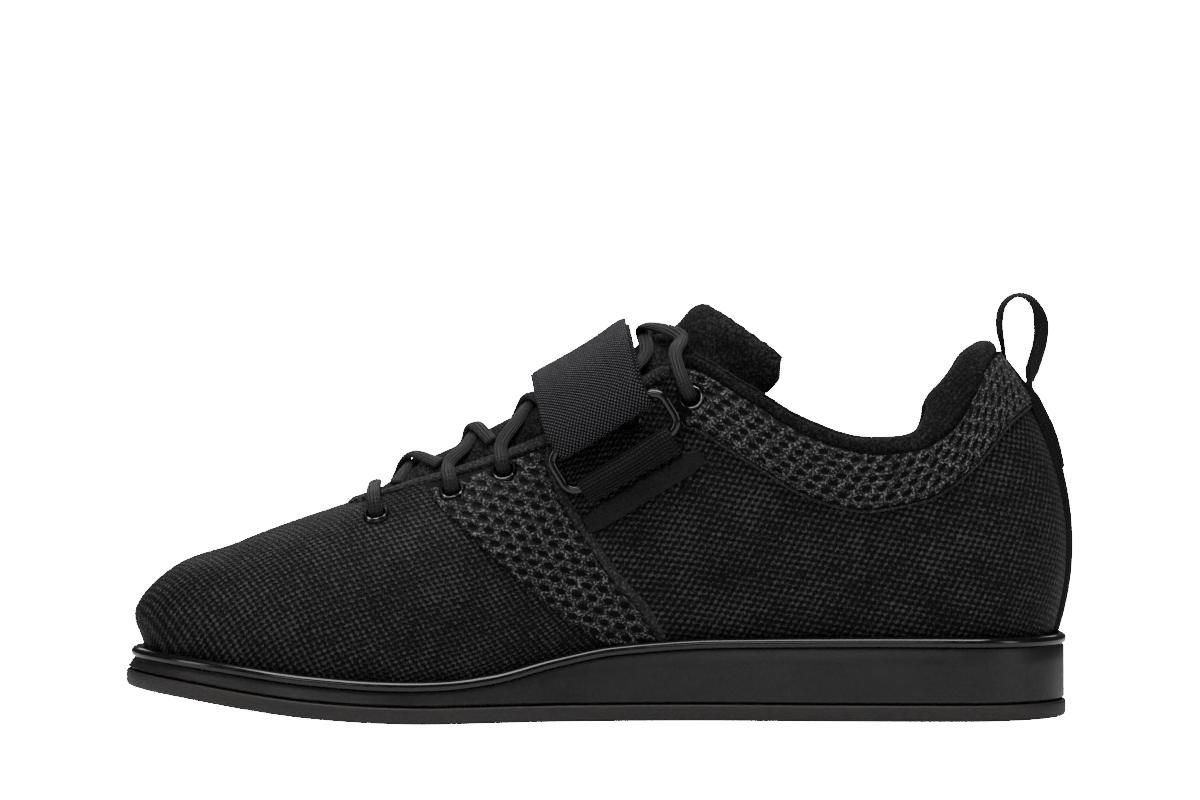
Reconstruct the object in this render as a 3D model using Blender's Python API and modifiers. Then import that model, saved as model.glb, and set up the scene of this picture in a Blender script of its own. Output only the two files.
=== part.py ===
"""A right weightlifting shoe, empty, standing on its sole.

Metres, +Z up. The toe points along -X and the heel along +X. The inner (medial) side faces -Y and the
outer (lateral) side faces +Y. The origin is on the floor, below the middle of the shoe.
"""

import math

import bmesh
import bpy
import numpy as np
from mathutils import Vector

# Driving sizes
SOLE_LENGTH = 0.288
BALL_WIDTH = 0.103
HEEL_WIDTH = 0.073
HEEL_STACK = 0.0258
FOREFOOT_STACK = 0.0134
TOE_SPRING = 0.0099
OUTSOLE_THICK = 0.0052
HEEL_OVERHANG = 0.002
RIM_HEIGHT = 0.0033
RIM_LEDGE = 0.0046
INSTEP_HEIGHT = 0.112
HEEL_HEIGHT = 0.1125
COLLAR_WIDTH = 0.065
HEEL_BELLY = 0.0128
WALL = 0.002
OVERLAY_STEP = 0.0006
INSOLE_THICK = 0.0045
COLLAR_PAD = 0.0075
COLLAR_ROLL = 0.0034
TONGUE_THICK = 0.007
LACE_WIDTH = 0.0046
LACE_THICK = 0.002
EYELET_RADIUS = 0.0041
EYELET_HOLE = 0.0024
EYELET_PROUD = 0.0011
STRAP_WIDTH = 0.034
STRAP_THICK = 0.002
RING_LENGTH = 0.043
RING_WIDTH = 0.0165
RING_WIRE = 0.0029
RING_CORNER = 0.0028
KEEPER_LEG = 0.0035
KEEPER_WIDTH = 0.0325
WEBBING_THICK = 0.0012
LOOP_HEIGHT = 0.0165
LOOP_WIDTH = 0.0165
LOOP_WEBBING = 0.010

# Fits
GAP = 0.0003
CLEAR = 0.0008
EYELET_SEAT = 0.0005

MEDIAL = -1
LATERAL = 1
HALF = 30
AROUND = 2 * HALF
HEEL_X = (SOLE_LENGTH - HEEL_OVERHANG) / 2


def table(names, *rows):
    """A short table as one array for each named column."""
    return dict(zip(names.split(), np.array(rows, float).T))


# Plan of the sole from heel to toe. along is a share of SOLE_LENGTH, centre and by_ball are shares of
# BALL_WIDTH, and by_heel is a share of HEEL_WIDTH. The half width is the sum of the last two.
SOLE_PLAN = table(
    "along centre by_ball by_heel",
    (0.00, 0.000, 0.00, 0.47),
    (0.12, 0.000, 0.00, 0.50),
    (0.26, 0.012, 0.00, 0.49),
    (0.40, 0.045, 0.10, 0.35),
    (0.52, 0.045, 0.27, 0.15),
    (0.63, 0.025, 0.45, 0.00),
    (0.72, 0.000, 0.50, 0.00),
    (0.80, -0.020, 0.49, 0.00),
    (0.90, -0.050, 0.43, 0.00),
    (1.00, -0.080, 0.37, 0.00),
)
HEEL_ROUND = 0.115
TOE_ROUND = 0.20
ROUNDNESS = 2.2

# Side view of the sole. lift is the share of the way from forefoot stack to heel stack, spring a share of
# TOE_SPRING, and draft how far the wall leans in from the outsole to the rim, as a share of RIM_LEDGE.
SOLE_SIDE = table(
    "along lift spring draft",
    (0.00, 0.98, 0.00, 0.13),
    (0.18, 1.01, 0.00, 0.15),
    (0.37, 0.96, 0.00, 0.20),
    (0.48, 0.79, 0.00, 0.25),
    (0.54, 0.52, 0.00, 0.25),
    (0.61, 0.12, 0.00, 0.25),
    (0.66, 0.00, 0.00, 0.25),
    (0.73, -0.03, 0.06, 0.25),
    (0.80, -0.02, 0.21, 0.28),
    (0.87, -0.02, 0.46, 0.32),
    (0.93, -0.05, 0.72, 0.38),
    (1.00, -0.10, 1.00, 0.46),
)

# Top edge of the upper from the heel's back (0) round to the throat's base (1), one row a section. along is
# a share of SOLE_LENGTH from the heel, out of COLLAR_WIDTH, up of INSTEP_HEIGHT. belly is how far the wall
# swells, as a share of HEEL_BELLY. square and ramp shape the wall: square 1 and ramp 1 is a straight wall,
# square 2 and ramp 0 a round one. drop is how far the outer side lies lower, of INSTEP_HEIGHT. band is the
# depth of the collar panel and eyestay, of INSTEP_HEIGHT. At the heel, up and drop are of HEEL_HEIGHT.
UPPER_EDGE = table(
    "around along out up belly square ramp drop band",
    (0.00, 0.080, 0.000, 1.005, 1.00, 1.0, 1.0, 0.00, 0.19),
    (0.05, 0.083, 0.130, 1.000, 0.95, 1.0, 1.0, 0.00, 0.19),
    (0.10, 0.093, 0.250, 0.975, 0.80, 1.0, 1.0, 0.01, 0.19),
    (0.15, 0.106, 0.345, 0.900, 0.62, 1.0, 1.0, 0.02, 0.18),
    (0.20, 0.127, 0.410, 0.815, 0.50, 1.0, 1.0, 0.03, 0.17),
    (0.25, 0.164, 0.455, 0.762, 0.40, 1.0, 1.0, 0.04, 0.17),
    (0.30, 0.212, 0.485, 0.753, 0.33, 1.0, 1.0, 0.04, 0.18),
    (0.35, 0.275, 0.480, 0.800, 0.35, 1.0, 1.0, 0.04, 0.19),
    (0.40, 0.345, 0.445, 0.905, 0.50, 1.1, 1.0, 0.03, 0.19),
    (0.44, 0.405, 0.385, 0.985, 0.55, 1.2, 0.9, 0.01, 0.19),
    (0.47, 0.432, 0.335, 0.960, 0.50, 1.3, 0.8, 0.00, 0.030),
    (0.52, 0.495, 0.290, 0.850, 0.40, 1.5, 0.7, 0.00, 0.022),
    (0.59, 0.560, 0.255, 0.765, 0.28, 1.8, 0.6, 0.00, 0.022),
    (0.67, 0.630, 0.225, 0.695, 0.24, 2.1, 0.55, 0.00, 0.022),
    (0.77, 0.698, 0.190, 0.640, 0.28, 2.5, 0.5, 0.00, 0.022),
    (0.87, 0.738, 0.125, 0.603, 0.38, 2.8, 0.5, 0.00, 0.022),
    (0.94, 0.752, 0.060, 0.592, 0.44, 3.0, 0.5, 0.00, 0.022),
    (1.00, 0.756, 0.000, 0.590, 0.45, 3.0, 0.5, 0.00, 0.022),
)

# The tongue's middle, from its toe end to its top. along is a share of SOLE_LENGTH and crown of
# INSTEP_HEIGHT.
TONGUE_CROWN = table(
    "along crown",
    (0.745, 0.583),
    (0.720, 0.630),
    (0.690, 0.680),
    (0.650, 0.725),
    (0.610, 0.778),
    (0.570, 0.832),
    (0.530, 0.885),
    (0.490, 0.945),
    (0.465, 0.990),
)
# Above the throat the tongue stands free, and its wings reach back inside the collar. wing_along is a share
# of SOLE_LENGTH, wing_up of INSTEP_HEIGHT and wing_out of COLLAR_WIDTH.
TONGUE_TOP = table(
    "along crown wing_along wing_up wing_out",
    (0.430, 1.045, 0.385, 0.83, 0.285),
    (0.410, 1.080, 0.340, 0.87, 0.300),
    (0.397, 1.102, 0.316, 0.93, 0.310),
    (0.391, 1.112, 0.308, 0.965, 0.300),
)
TONGUE_TUCK = 0.006

# Eyelets from the toe end up, where they show from the side.
EYELETS = table(
    "along up",
    (0.733, 0.560),
    (0.653, 0.622),
    (0.598, 0.675),
    (0.532, 0.742),
    (0.465, 0.812),
    (0.400, 0.880),
)


def smooth(rows, name, at, key="along"):
    """A column's value at any share, on a smooth curve that never overshoots its rows."""
    x = rows[key]
    y = rows[name]
    at = np.asarray(at, float)
    secant = np.diff(y) / np.diff(x)
    product = secant[:-1] * secant[1:]
    total = secant[:-1] + secant[1:]
    inner = np.where(product > 0, 2 * product / np.where(total == 0, 1, total), 0)
    slope = np.concatenate(([secant[0]], inner, [secant[-1]]))
    i = np.clip(np.searchsorted(x, at, side="right") - 1, 0, len(x) - 2)
    step = x[i + 1] - x[i]
    t = np.clip((at - x[i]) / step, 0, 1)
    low = (1 + 2 * t) * (1 - t) ** 2 * y[i] + t * (1 - t) ** 2 * step * slope[i]
    high = t * t * (3 - 2 * t) * y[i + 1] + t * t * (t - 1) * step * slope[i + 1]
    return low + high


def unit(vectors):
    return vectors / np.linalg.norm(vectors, axis=-1, keepdims=True)


# Sections are spread round the shoe so that they stand closest at heel and toe.
def share_along(around):
    return (1 - np.cos(np.pi * around)) / 2


def turns(count=AROUND):
    """Each section's share from heel to toe and its side, round by the inner side and back by the outer."""
    turn = 2 * np.arange(count) / count
    side = np.where(turn <= 1, MEDIAL, LATERAL)
    return np.where(turn <= 1, turn, 2 - turn), side


def closing(share, reach):
    near = np.clip(1 - share / reach, 0, 1)
    return (1 - near**ROUNDNESS) ** (1 / ROUNDNESS)


def plan_edge(around, side):
    """The outsole's edge, seen from above."""
    along = share_along(around)
    half = BALL_WIDTH * smooth(SOLE_PLAN, "by_ball", along) + HEEL_WIDTH * smooth(SOLE_PLAN, "by_heel", along)
    half = half * closing(along, HEEL_ROUND) * closing(1 - along, TOE_ROUND)
    y = BALL_WIDTH * smooth(SOLE_PLAN, "centre", along) + side * half
    return np.stack([HEEL_X - along * SOLE_LENGTH, y], axis=-1)


def plan_loop(inset):
    """The outsole's edge moved in by inset, as one loop, with its outward directions."""
    around, side = turns()
    edge = plan_edge(around, side)
    tangent = np.roll(edge, -1, axis=0) - np.roll(edge, 1, axis=0)
    outward = unit(np.stack([-tangent[:, 1], tangent[:, 0]], axis=-1))
    middle = edge.mean(axis=0)
    outward *= np.sign(np.sum(outward * (edge - middle), axis=1).sum())
    return edge - outward * np.reshape(inset, (-1, 1)), outward


ALL_ROUND = np.linspace(0, 1, 200)
MIDDLE_Y = (plan_edge(ALL_ROUND, MEDIAL)[:, 1].min() + plan_edge(ALL_ROUND, LATERAL)[:, 1].max()) / 2


def ground_at(along):
    return TOE_SPRING * smooth(SOLE_SIDE, "spring", along)


def rim_top_at(along):
    lift = smooth(SOLE_SIDE, "lift", along)
    return FOREFOOT_STACK + (HEEL_STACK - FOREFOOT_STACK) * lift + ground_at(along)


def seat_at(along):
    """Top of the midsole, on which welt, upper and insole stand."""
    return rim_top_at(along) - RIM_HEIGHT


def level(inset, height):
    """One loop round the sole at a given inset and height, both numbers or one value a section."""
    edge, _ = plan_loop(inset)
    high = np.broadcast_to(height, (AROUND,))
    return np.column_stack([edge[:, 0], edge[:, 1] - MIDDLE_Y, high])


# Making solids
PARTS = None
CUTTERS = None


def start():
    global PARTS, CUTTERS
    for thing in list(bpy.data.objects):
        bpy.data.objects.remove(thing, do_unlink=True)
    PARTS = bpy.data.collections.new("Weightlifting shoe")
    CUTTERS = bpy.data.collections.new("Cutters")
    bpy.context.scene.collection.children.link(PARTS)
    bpy.context.scene.collection.children.link(CUTTERS)


def finish(thing, colour, roughness, metallic=0.0):
    material = bpy.data.materials.new(thing.name)
    material.use_nodes = True
    shader = material.node_tree.nodes["Principled BSDF"]
    shader.inputs["Base Color"].default_value = (*colour, 1)
    shader.inputs["Roughness"].default_value = roughness
    shader.inputs["Metallic"].default_value = metallic
    thing.data.materials.append(material)
    return thing


def put(name, mesh, collection=None):
    thing = bpy.data.objects.new(name, mesh)
    (collection or PARTS).objects.link(thing)
    return thing


def loft(name, loops, closed=False, capped="fan", collection=None):
    """A solid through like sections: closed into a ring, or capped by one face or by strips across."""
    loops = np.asarray(loops, float)
    rows, points = loops.shape[:2]
    shape = bmesh.new()
    corners = [[shape.verts.new(point) for point in loop] for loop in loops]
    for row in range(rows if closed else rows - 1):
        here = corners[row]
        there = corners[(row + 1) % rows]
        for i in range(points):
            j = (i + 1) % points
            shape.faces.new((here[i], here[j], there[j], there[i]))
    if not closed:
        for end in (corners[0], corners[-1]):
            if capped == "fan":
                shape.faces.new(end)
            else:
                shape.faces.new((end[0], end[1], end[-1]))
                for i in range(1, points // 2 - 1):
                    shape.faces.new((end[i], end[i + 1], end[-i - 1], end[-i]))
                shape.faces.new((end[points // 2 - 1], end[points // 2], end[points // 2 + 1]))
    bmesh.ops.triangulate(shape, faces=shape.faces[:])
    bmesh.ops.recalc_face_normals(shape, faces=shape.faces[:])
    mesh = bpy.data.meshes.new(name)
    shape.to_mesh(mesh)
    shape.free()
    mesh.shade_smooth()
    mesh.set_sharp_from_angle(angle=math.radians(40))
    return put(name, mesh, collection)


# Sole
def make_sole():
    around, _ = turns()
    along = share_along(around)
    ground = ground_at(along)
    step = ground + OUTSOLE_THICK
    seat = seat_at(along)
    draft = RIM_LEDGE * smooth(SOLE_SIDE, "draft", along)
    edge = 0.0012
    outsole = loft(
        "outsole",
        [level(edge, ground), level(0, ground + edge), level(0, step - edge / 2), level(edge / 2, step)],
        capped="strips",
    )
    finish(outsole, (0.035, 0.033, 0.034), 0.6)
    proud = 0.0005
    midsole = loft(
        "midsole",
        [level(proud, step + GAP), level((proud + draft) / 2, (step + seat) / 2), level(draft, seat)],
        capped="strips",
    )
    finish(midsole, (0.028, 0.026, 0.027), 0.5)
    insole_inset = RIM_LEDGE + draft + WALL + CLEAR
    insole = loft(
        "insole",
        [
            level(insole_inset, seat + GAP),
            level(insole_inset, seat + INSOLE_THICK * 0.75),
            level(insole_inset + INSOLE_THICK * 0.25, seat + INSOLE_THICK),
        ],
        capped="strips",
    )
    finish(insole, (0.012, 0.012, 0.012), 0.9)


# Upper
FINE = np.linspace(0, 1, 61)


def foot_loop():
    """Where the upper's outer face stands on the sole, with its outward directions."""
    along = share_along(turns()[0])
    draft = RIM_LEDGE * smooth(SOLE_SIDE, "draft", along)
    edge, outward = plan_loop(RIM_LEDGE + draft)
    return np.column_stack([edge[:, 0], edge[:, 1] - MIDDLE_Y, seat_at(along) + GAP]), outward


def middle_y(along):
    """The foot's middle above the sole, which bends less than the sole's own middle."""
    return BALL_WIDTH * smooth(SOLE_PLAN, "centre", along) * 0.6 - MIDDLE_Y


def edge_point(around, side):
    """The upper's top edge."""
    along = smooth(UPPER_EDGE, "along", around, "around")
    out = COLLAR_WIDTH * smooth(UPPER_EDGE, "out", around, "around")
    up = smooth(UPPER_EDGE, "up", around, "around")
    up = up - np.where(side > 0, smooth(UPPER_EDGE, "drop", around, "around"), 0)
    of_heel = np.clip((0.45 - around) / 0.25, 0, 1)
    tall = INSTEP_HEIGHT + (HEEL_HEIGHT - INSTEP_HEIGHT) * of_heel
    return np.stack([HEEL_X - along * SOLE_LENGTH, middle_y(along) + side * out, up * tall], axis=-1)


def walls():
    """The upper's outer face: a wall for each section, as a fine row of points from foot to top edge."""
    around, side = turns()
    foot, outward = foot_loop()
    top = edge_point(around, side)
    square = smooth(UPPER_EDGE, "square", around, "around")[:, None]
    ramp = smooth(UPPER_EDGE, "ramp", around, "around")[:, None]
    belly = HEEL_BELLY * smooth(UPPER_EDGE, "belly", around, "around")[:, None]
    angle = FINE[None, :] * math.pi / 2
    across = 1 - np.cos(angle).clip(0) ** (2 / square)
    rise = (1 - ramp) * np.sin(angle) ** (2 / square) + ramp * across
    swell = belly * 4 * rise * (1 - rise)
    plan = foot[:, None, :2] + (top - foot)[:, None, :2] * across[..., None] + outward[:, None] * swell[..., None]
    high = foot[:, None, 2] + (top - foot)[:, None, 2] * rise
    return np.concatenate([plan, high[..., None]], axis=-1)


def along_wall(wall, depth):
    """Points of one wall at distances down from its top edge."""
    reach = np.concatenate([[0], np.cumsum(np.linalg.norm(np.diff(wall, axis=0), axis=1))])
    at = reach[-1] - np.asarray(depth)
    return np.stack([np.interp(at, reach, wall[:, k]) for k in range(3)], axis=-1)


def wall_length(wall):
    return np.linalg.norm(np.diff(wall, axis=0), axis=1).sum()


def facing(grid):
    """Outward directions of a grid that runs round the shoe and up it."""
    round_way = np.roll(grid, -1, axis=0) - np.roll(grid, 1, axis=0)
    up_way = np.gradient(grid, axis=1)
    return unit(np.cross(up_way, round_way))


BODY_ROWS = 9


def row_depths(wall, deep):
    """Depths of the upper's rows: from the foot to the band's line, then the band."""
    body = np.linspace(wall_length(wall), deep + OVERLAY_STEP, BODY_ROWS)
    return np.concatenate([body, [deep, deep / 2, 0]])


WALLS = None
DEPTHS = None
SKIN = None
SKIN_OUT = None
FACE = None


def shape_upper():
    global WALLS, DEPTHS, SKIN, SKIN_OUT, FACE
    WALLS = walls()
    band = INSTEP_HEIGHT * smooth(UPPER_EDGE, "band", turns()[0], "around")
    DEPTHS = np.array([row_depths(wall, deep) for wall, deep in zip(WALLS, band)])
    SKIN = np.array([along_wall(wall, depths) for wall, depths in zip(WALLS, DEPTHS)])
    SKIN_OUT = facing(SKIN)
    FACE = SKIN.copy()
    FACE[:, BODY_ROWS:] += SKIN_OUT[:, BODY_ROWS:] * OVERLAY_STEP


def make_upper():
    outer = FACE
    inner = SKIN - SKIN_OUT * WALL
    inner[:, 0, 2] = outer[:, 0, 2]
    sections = np.concatenate([outer, inner[:, ::-1]], axis=1)
    upper = loft("upper", sections, closed=True)
    finish(upper, (0.012, 0.012, 0.013), 0.9)
    return upper


def skin_at(section, depth):
    """Places on the upper's face and their outward directions, at distances down one section."""
    depths = DEPTHS[section, ::-1]
    place, out = (
        np.stack([np.interp(depth, depths, values[section, ::-1, k]) for k in range(3)], axis=-1)
        for values in (SKIN, SKIN_OUT)
    )
    return place, unit(out)


def between(values, rounds, ups):
    """A grid's values at fractional rows and columns."""
    i = np.clip(rounds.astype(int), 0, len(values) - 2)
    part = (rounds - i)[:, None, None]
    across = values[i] * (1 - part) + values[i + 1] * part
    j = np.clip(ups.astype(int), 0, values.shape[1] - 2)
    part = (ups - j)[None, :, None]
    return across[:, j] * (1 - part) + across[:, j + 1] * part


def on_skin(side, along, up):
    """The place and outward direction on the upper's outer face, seen from one side."""
    rows = slice(0, HALF + 1) if side == MEDIAL else np.r_[0, AROUND - 1 : HALF - 1 : -1]
    grid = FACE[rows]
    wanted = np.array([HEEL_X - along * SOLE_LENGTH, up * INSTEP_HEIGHT])
    last = np.array(grid.shape[:2]) - 1
    low = np.zeros(2)
    high = last.astype(float)
    for steps in (4 * last, (16, 16), (16, 16)):
        rounds = np.linspace(low[0], high[0], steps[0] + 1)
        ups = np.linspace(low[1], high[1], steps[1] + 1)
        off = np.linalg.norm(between(grid, rounds, ups)[..., [0, 2]] - wanted, axis=-1)
        i, j = np.unravel_index(np.argmin(off), off.shape)
        reach = (high - low) / steps
        low = np.clip(np.array([rounds[i], ups[j]]) - reach, 0, last)
        high = np.clip(np.array([rounds[i], ups[j]]) + reach, 0, last)
    at = rounds[i : i + 1], ups[j : j + 1]
    return between(grid, *at)[0, 0], unit(between(SKIN_OUT[rows], *at)[0, 0])


# Welt
def make_welt():
    around, _ = turns()
    along = share_along(around)
    draft = RIM_LEDGE * smooth(SOLE_SIDE, "draft", along)
    seat = seat_at(along)
    rim = rim_top_at(along)
    foot, outward = foot_loop()
    out3 = np.column_stack([outward, np.zeros(AROUND)])
    high_wall = np.array([[np.interp(top, wall[:, 2], wall[:, k]) for k in range(3)] for wall, top in zip(WALLS, rim)])
    high_wall[:, 2] = rim
    bulge = RIM_HEIGHT * 0.12
    sections = np.stack(
        [
            foot + out3 * GAP,
            level(draft + GAP, seat + GAP),
            level(draft - bulge, seat + RIM_HEIGHT * 0.3),
            level(draft - bulge, seat + RIM_HEIGHT * 0.65),
            level(draft + RIM_HEIGHT * 0.35, rim),
            high_wall + out3 * GAP,
        ],
        axis=1,
    )
    finish(loft("welt", sections, closed=True), (0.045, 0.043, 0.045), 0.2)


# Collar lining, a padded roll from one front corner round the heel to the other
LINING_PAD = table(
    "around thick deep",
    (0.00, 0.95, 1.00),
    (0.10, 1.15, 1.00),
    (0.16, 1.45, 0.95),
    (0.22, 1.15, 0.85),
    (0.30, 1.00, 0.80),
    (0.37, 0.85, 0.65),
    (0.42, 0.50, 0.45),
    (0.46, 0.25, 0.30),
)
LINING_DEPTH = 0.036
LINING_ENDS = 0.445
LINING_SEAT = 0.0005
# Section of the roll. into is a share of the pad's thickness inside the wall, or below 0 a share of the wall
# that the roll covers. down is a share of its depth, and above of COLLAR_ROLL.
LINING_SECTION = table(
    "into down above",
    (0.00, 0.95, 0.00),
    (0.00, 0.50, 0.00),
    (0.00, 0.00, 0.25),
    (-0.10, 0.00, 0.25),
    (-0.15, 0.00, 0.65),
    (0.10, 0.00, 1.00),
    (0.55, 0.00, 0.90),
    (0.90, 0.00, 0.20),
    (1.00, 0.15, 0.00),
    (0.95, 0.45, 0.00),
    (0.50, 0.80, 0.00),
    (0.18, 1.00, 0.00),
)


def make_lining():
    around, side = turns()
    order = [i for i in np.r_[HALF:AROUND, 0:HALF] if around[i] <= LINING_ENDS]
    sections = []
    for i in order:
        wall = WALLS[i]
        thick = COLLAR_PAD * smooth(LINING_PAD, "thick", around[i], "around")
        deep = LINING_DEPTH * smooth(LINING_PAD, "deep", around[i], "around")
        down = LINING_SECTION["down"] * deep
        places, outs = skin_at(i, down)
        up = unit(wall[-1] - wall[-6])
        share = LINING_SECTION["into"]
        if i in (order[0], order[-1]):
            share = share.clip(0)
        into = np.where(share < 0, -share * WALL, WALL + LINING_SEAT + share * thick)
        above = LINING_SECTION["above"] * COLLAR_ROLL
        sections.append(places - outs * into[:, None] + up * above[:, None])
    finish(loft("collar_lining", sections), (0.006, 0.006, 0.006), 0.95)


# Tongue
THROAT = (0.945, 0.462)
CURVE = np.linspace(0, 1, 6)


def throat_at(along, side):
    """The upper's edge beside a tongue section: the edge's top, what lies under it, and its outward way."""
    around, sides = turns()
    use = [i for i in range(AROUND) if sides[i] == side and THROAT[1] <= around[i] <= THROAT[0]]
    use.sort(key=lambda i: -SKIN[i, -1, 0])
    x = np.array([-SKIN[i, -1, 0] for i in use])
    here = -(HEEL_X - along * SOLE_LENGTH)
    under = []
    for i in use:
        deep = along_wall(WALLS[i], TONGUE_TUCK)
        under.append(deep - SKIN_OUT[i, BODY_ROWS] * (WALL + CLEAR))
    top = np.array([SKIN[i, -1] for i in use])
    out = np.array([SKIN_OUT[i, -1] for i in use])

    def read(values):
        return np.array([np.interp(here, x, values[:, k]) for k in range(3)])

    return read(top), read(np.array(under)), unit(read(out))


def dome(wing, edge, crown):
    """Half a section, from wing to edge and up over a round shoulder to the middle."""
    angle = CURVE[1:] * math.pi / 2
    rise = np.column_stack(
        [
            edge[0] + (crown[0] - edge[0]) * np.sin(angle),
            crown[1] + (edge[1] - crown[1]) * np.cos(angle),
            edge[2] + (crown[2] - edge[2]) * np.sin(angle),
        ]
    )
    return np.vstack([wing, edge, rise])


def tongue_section(along, crown, top=None):
    """The tongue's outer face across one section, from the inner wing to the outer one."""
    middle = np.array([HEEL_X - along * SOLE_LENGTH, middle_y(along), crown * INSTEP_HEIGHT])
    halves = []
    for side in (MEDIAL, LATERAL):
        if top is None:
            edge, wing, out = throat_at(along, side)
            edge = edge - out * (WALL + CLEAR)
        else:
            wing_along, wing_up, wing_out = top
            out = side * wing_out * COLLAR_WIDTH
            wing = np.array([HEEL_X - wing_along * SOLE_LENGTH, middle_y(wing_along) + out, wing_up * INSTEP_HEIGHT])
            edge = wing + (middle - wing) * np.array([0.12, 0.0, 0.12])
        halves.append(dome(wing, edge, middle))
    return np.vstack([halves[0], halves[1][-2::-1]])


def tongue_sections():
    rows = [
        tongue_section(along, crown)
        for along, crown in zip(TONGUE_CROWN["along"], TONGUE_CROWN["crown"])
    ]
    for along, crown, *top in zip(*TONGUE_TOP.values()):
        rows.append(tongue_section(along, crown, top))
    rows = np.array(rows)
    keys = {"along": np.arange(len(rows), dtype=float)}
    at = np.linspace(0, len(rows) - 1, 2 * len(rows) - 1)
    finer = np.empty((len(at), *rows.shape[1:]))
    for point in range(rows.shape[1]):
        for k in range(3):
            keys["value"] = rows[:, point, k]
            finer[:, point, k] = smooth(keys, "value", at)
    return finer


TONGUE_FACE = None


def shape_tongue():
    global TONGUE_FACE
    TONGUE_FACE = tongue_sections()


def on_tongue(along, share):
    """A place on the tongue's outer face: share runs from -1 at the inner edge to 1 at the outer one."""
    count = TONGUE_FACE.shape[1]
    first = 1
    at = first + (share + 1) / 2 * (count - 1 - 2 * first)
    i = min(int(at), count - 2)
    line = TONGUE_FACE[:, i] * (1 - (at - i)) + TONGUE_FACE[:, i + 1] * (at - i)
    middle = TONGUE_FACE[:, count // 2, 0]
    here = HEEL_X - along * SOLE_LENGTH
    return np.array([np.interp(here, middle, line[:, k]) for k in range(3)])


def make_tongue():
    outer = TONGUE_FACE
    out = unit(np.cross(np.gradient(outer, axis=1), np.gradient(outer, axis=0)))
    out *= np.sign(out[:, outer.shape[1] // 2, 2].mean())
    rows, across = outer.shape[:2]
    side = np.abs(np.linspace(-1, 1, across))
    thin_wing = 1 - 0.6 * side**4
    thin_end = np.interp(np.linspace(0, 1, rows), [0, 0.3, 0.9, 1], [0.3, 0.75, 1.0, 0.6])
    inner = outer - out * (TONGUE_THICK * thin_wing[None, :] * thin_end[:, None])[..., None]
    sections = np.concatenate([outer, inner[:, ::-1]], axis=1)
    finish(loft("tongue", sections), (0.008, 0.008, 0.008), 0.95)


# Eyelets
def align(thing, place, out):
    thing.location = place
    thing.rotation_euler = Vector(out).to_track_quat("Z", "Y").to_euler()


def eyelet_places():
    for side, word in ((MEDIAL, "in"), (LATERAL, "out")):
        for number, (along, up) in enumerate(zip(EYELETS["along"], EYELETS["up"]), 1):
            place, out = on_skin(side, along, up)
            yield f"eyelet_{word}_{number}", place, out


def turned(name, profile, segments):
    """A solid turned about its own Z axis from a closed profile of radius and height."""
    mesh = bpy.data.meshes.new(name)
    points = [(radius, 0, height) for radius, height in profile]
    mesh.from_pydata(points, [(i, (i + 1) % len(points)) for i in range(len(points))], [])
    thing = put(name, mesh)
    screw = thing.modifiers.new("turn", "SCREW")
    screw.steps = segments
    screw.render_steps = segments
    screw.use_merge_vertices = True
    screw.merge_threshold = 0.00001
    screw.use_normal_calculate = True
    screw.use_normal_flip = True
    return thing


def make_eyelets(upper):
    barrel = EYELET_HOLE + 0.0006
    profile = [
        (barrel, -WALL - GAP),
        (barrel, EYELET_SEAT),
        (EYELET_RADIUS, EYELET_SEAT),
        (EYELET_RADIUS * 0.94, EYELET_PROUD),
        (EYELET_HOLE, EYELET_PROUD),
        (EYELET_HOLE, -WALL - GAP),
    ]
    cutter = bmesh.new()
    for name, place, out in eyelet_places():
        eyelet = turned(name, profile, 12)
        align(eyelet, place, out)
        finish(eyelet, (0.02, 0.02, 0.02), 0.3, 0.9)
        turn = Vector(out).to_track_quat("Z", "Y").to_matrix().to_4x4()
        turn.translation = Vector(place)
        bmesh.ops.create_cone(
            cutter,
            cap_ends=True,
            segments=12,
            radius1=barrel + GAP,
            radius2=barrel + GAP,
            depth=6 * WALL,
            matrix=turn,
        )
    mesh = bpy.data.meshes.new("eyelet holes")
    cutter.to_mesh(mesh)
    cutter.free()
    holes = put("eyelet_holes", mesh, CUTTERS)
    holes.hide_render = True
    holes.display_type = "WIRE"
    cut = upper.modifiers.new("eyelet holes", "BOOLEAN")
    cut.operation = "DIFFERENCE"
    cut.object = holes


# Laces
def through(points, count):
    """Evenly spaced places on a smooth curve through a few points."""
    points = np.asarray(points, float)
    keys = np.concatenate([[0], np.cumsum(np.linalg.norm(np.diff(points, axis=0), axis=1))])
    slope = np.gradient(points, keys, axis=0)
    at = np.linspace(0, keys[-1], count)
    i = np.clip(np.searchsorted(keys, at, side="right") - 1, 0, len(keys) - 2)
    step = (keys[i + 1] - keys[i])[:, None]
    t = ((at - keys[i]) / (keys[i + 1] - keys[i]))[:, None]
    low = (1 + 2 * t) * (1 - t) ** 2 * points[i] + t * (1 - t) ** 2 * step * slope[i]
    return low + t * t * (3 - 2 * t) * points[i + 1] + t * t * (t - 1) * step * slope[i + 1]


def lace_run(name, points, outs, collection=None):
    """A flat oval lace through a few points, its flat side facing outward."""
    path = through(points, 10)
    out = unit(through(outs, 10))
    along = unit(np.gradient(path, axis=0))
    across = unit(np.cross(along, out))
    out = unit(np.cross(across, along))
    sections = []
    for angle in np.arange(6) * math.pi / 3:
        wide = math.cos(angle) * LACE_WIDTH / 2
        thick = math.sin(angle) * LACE_THICK / 2 / math.sin(math.pi / 3)
        sections.append(path + across * wide + out * thick)
    return loft(name, np.stack(sections, axis=1), collection=collection)


LACE_LIFT = LACE_THICK / 2 + CLEAR
LACE_ASIDE = 0.8 * LACE_WIDTH
LAST_EYELET = len(EYELETS["along"]) - 1
LACE_UP = np.array([-0.4, 0, 0.92])


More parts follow.
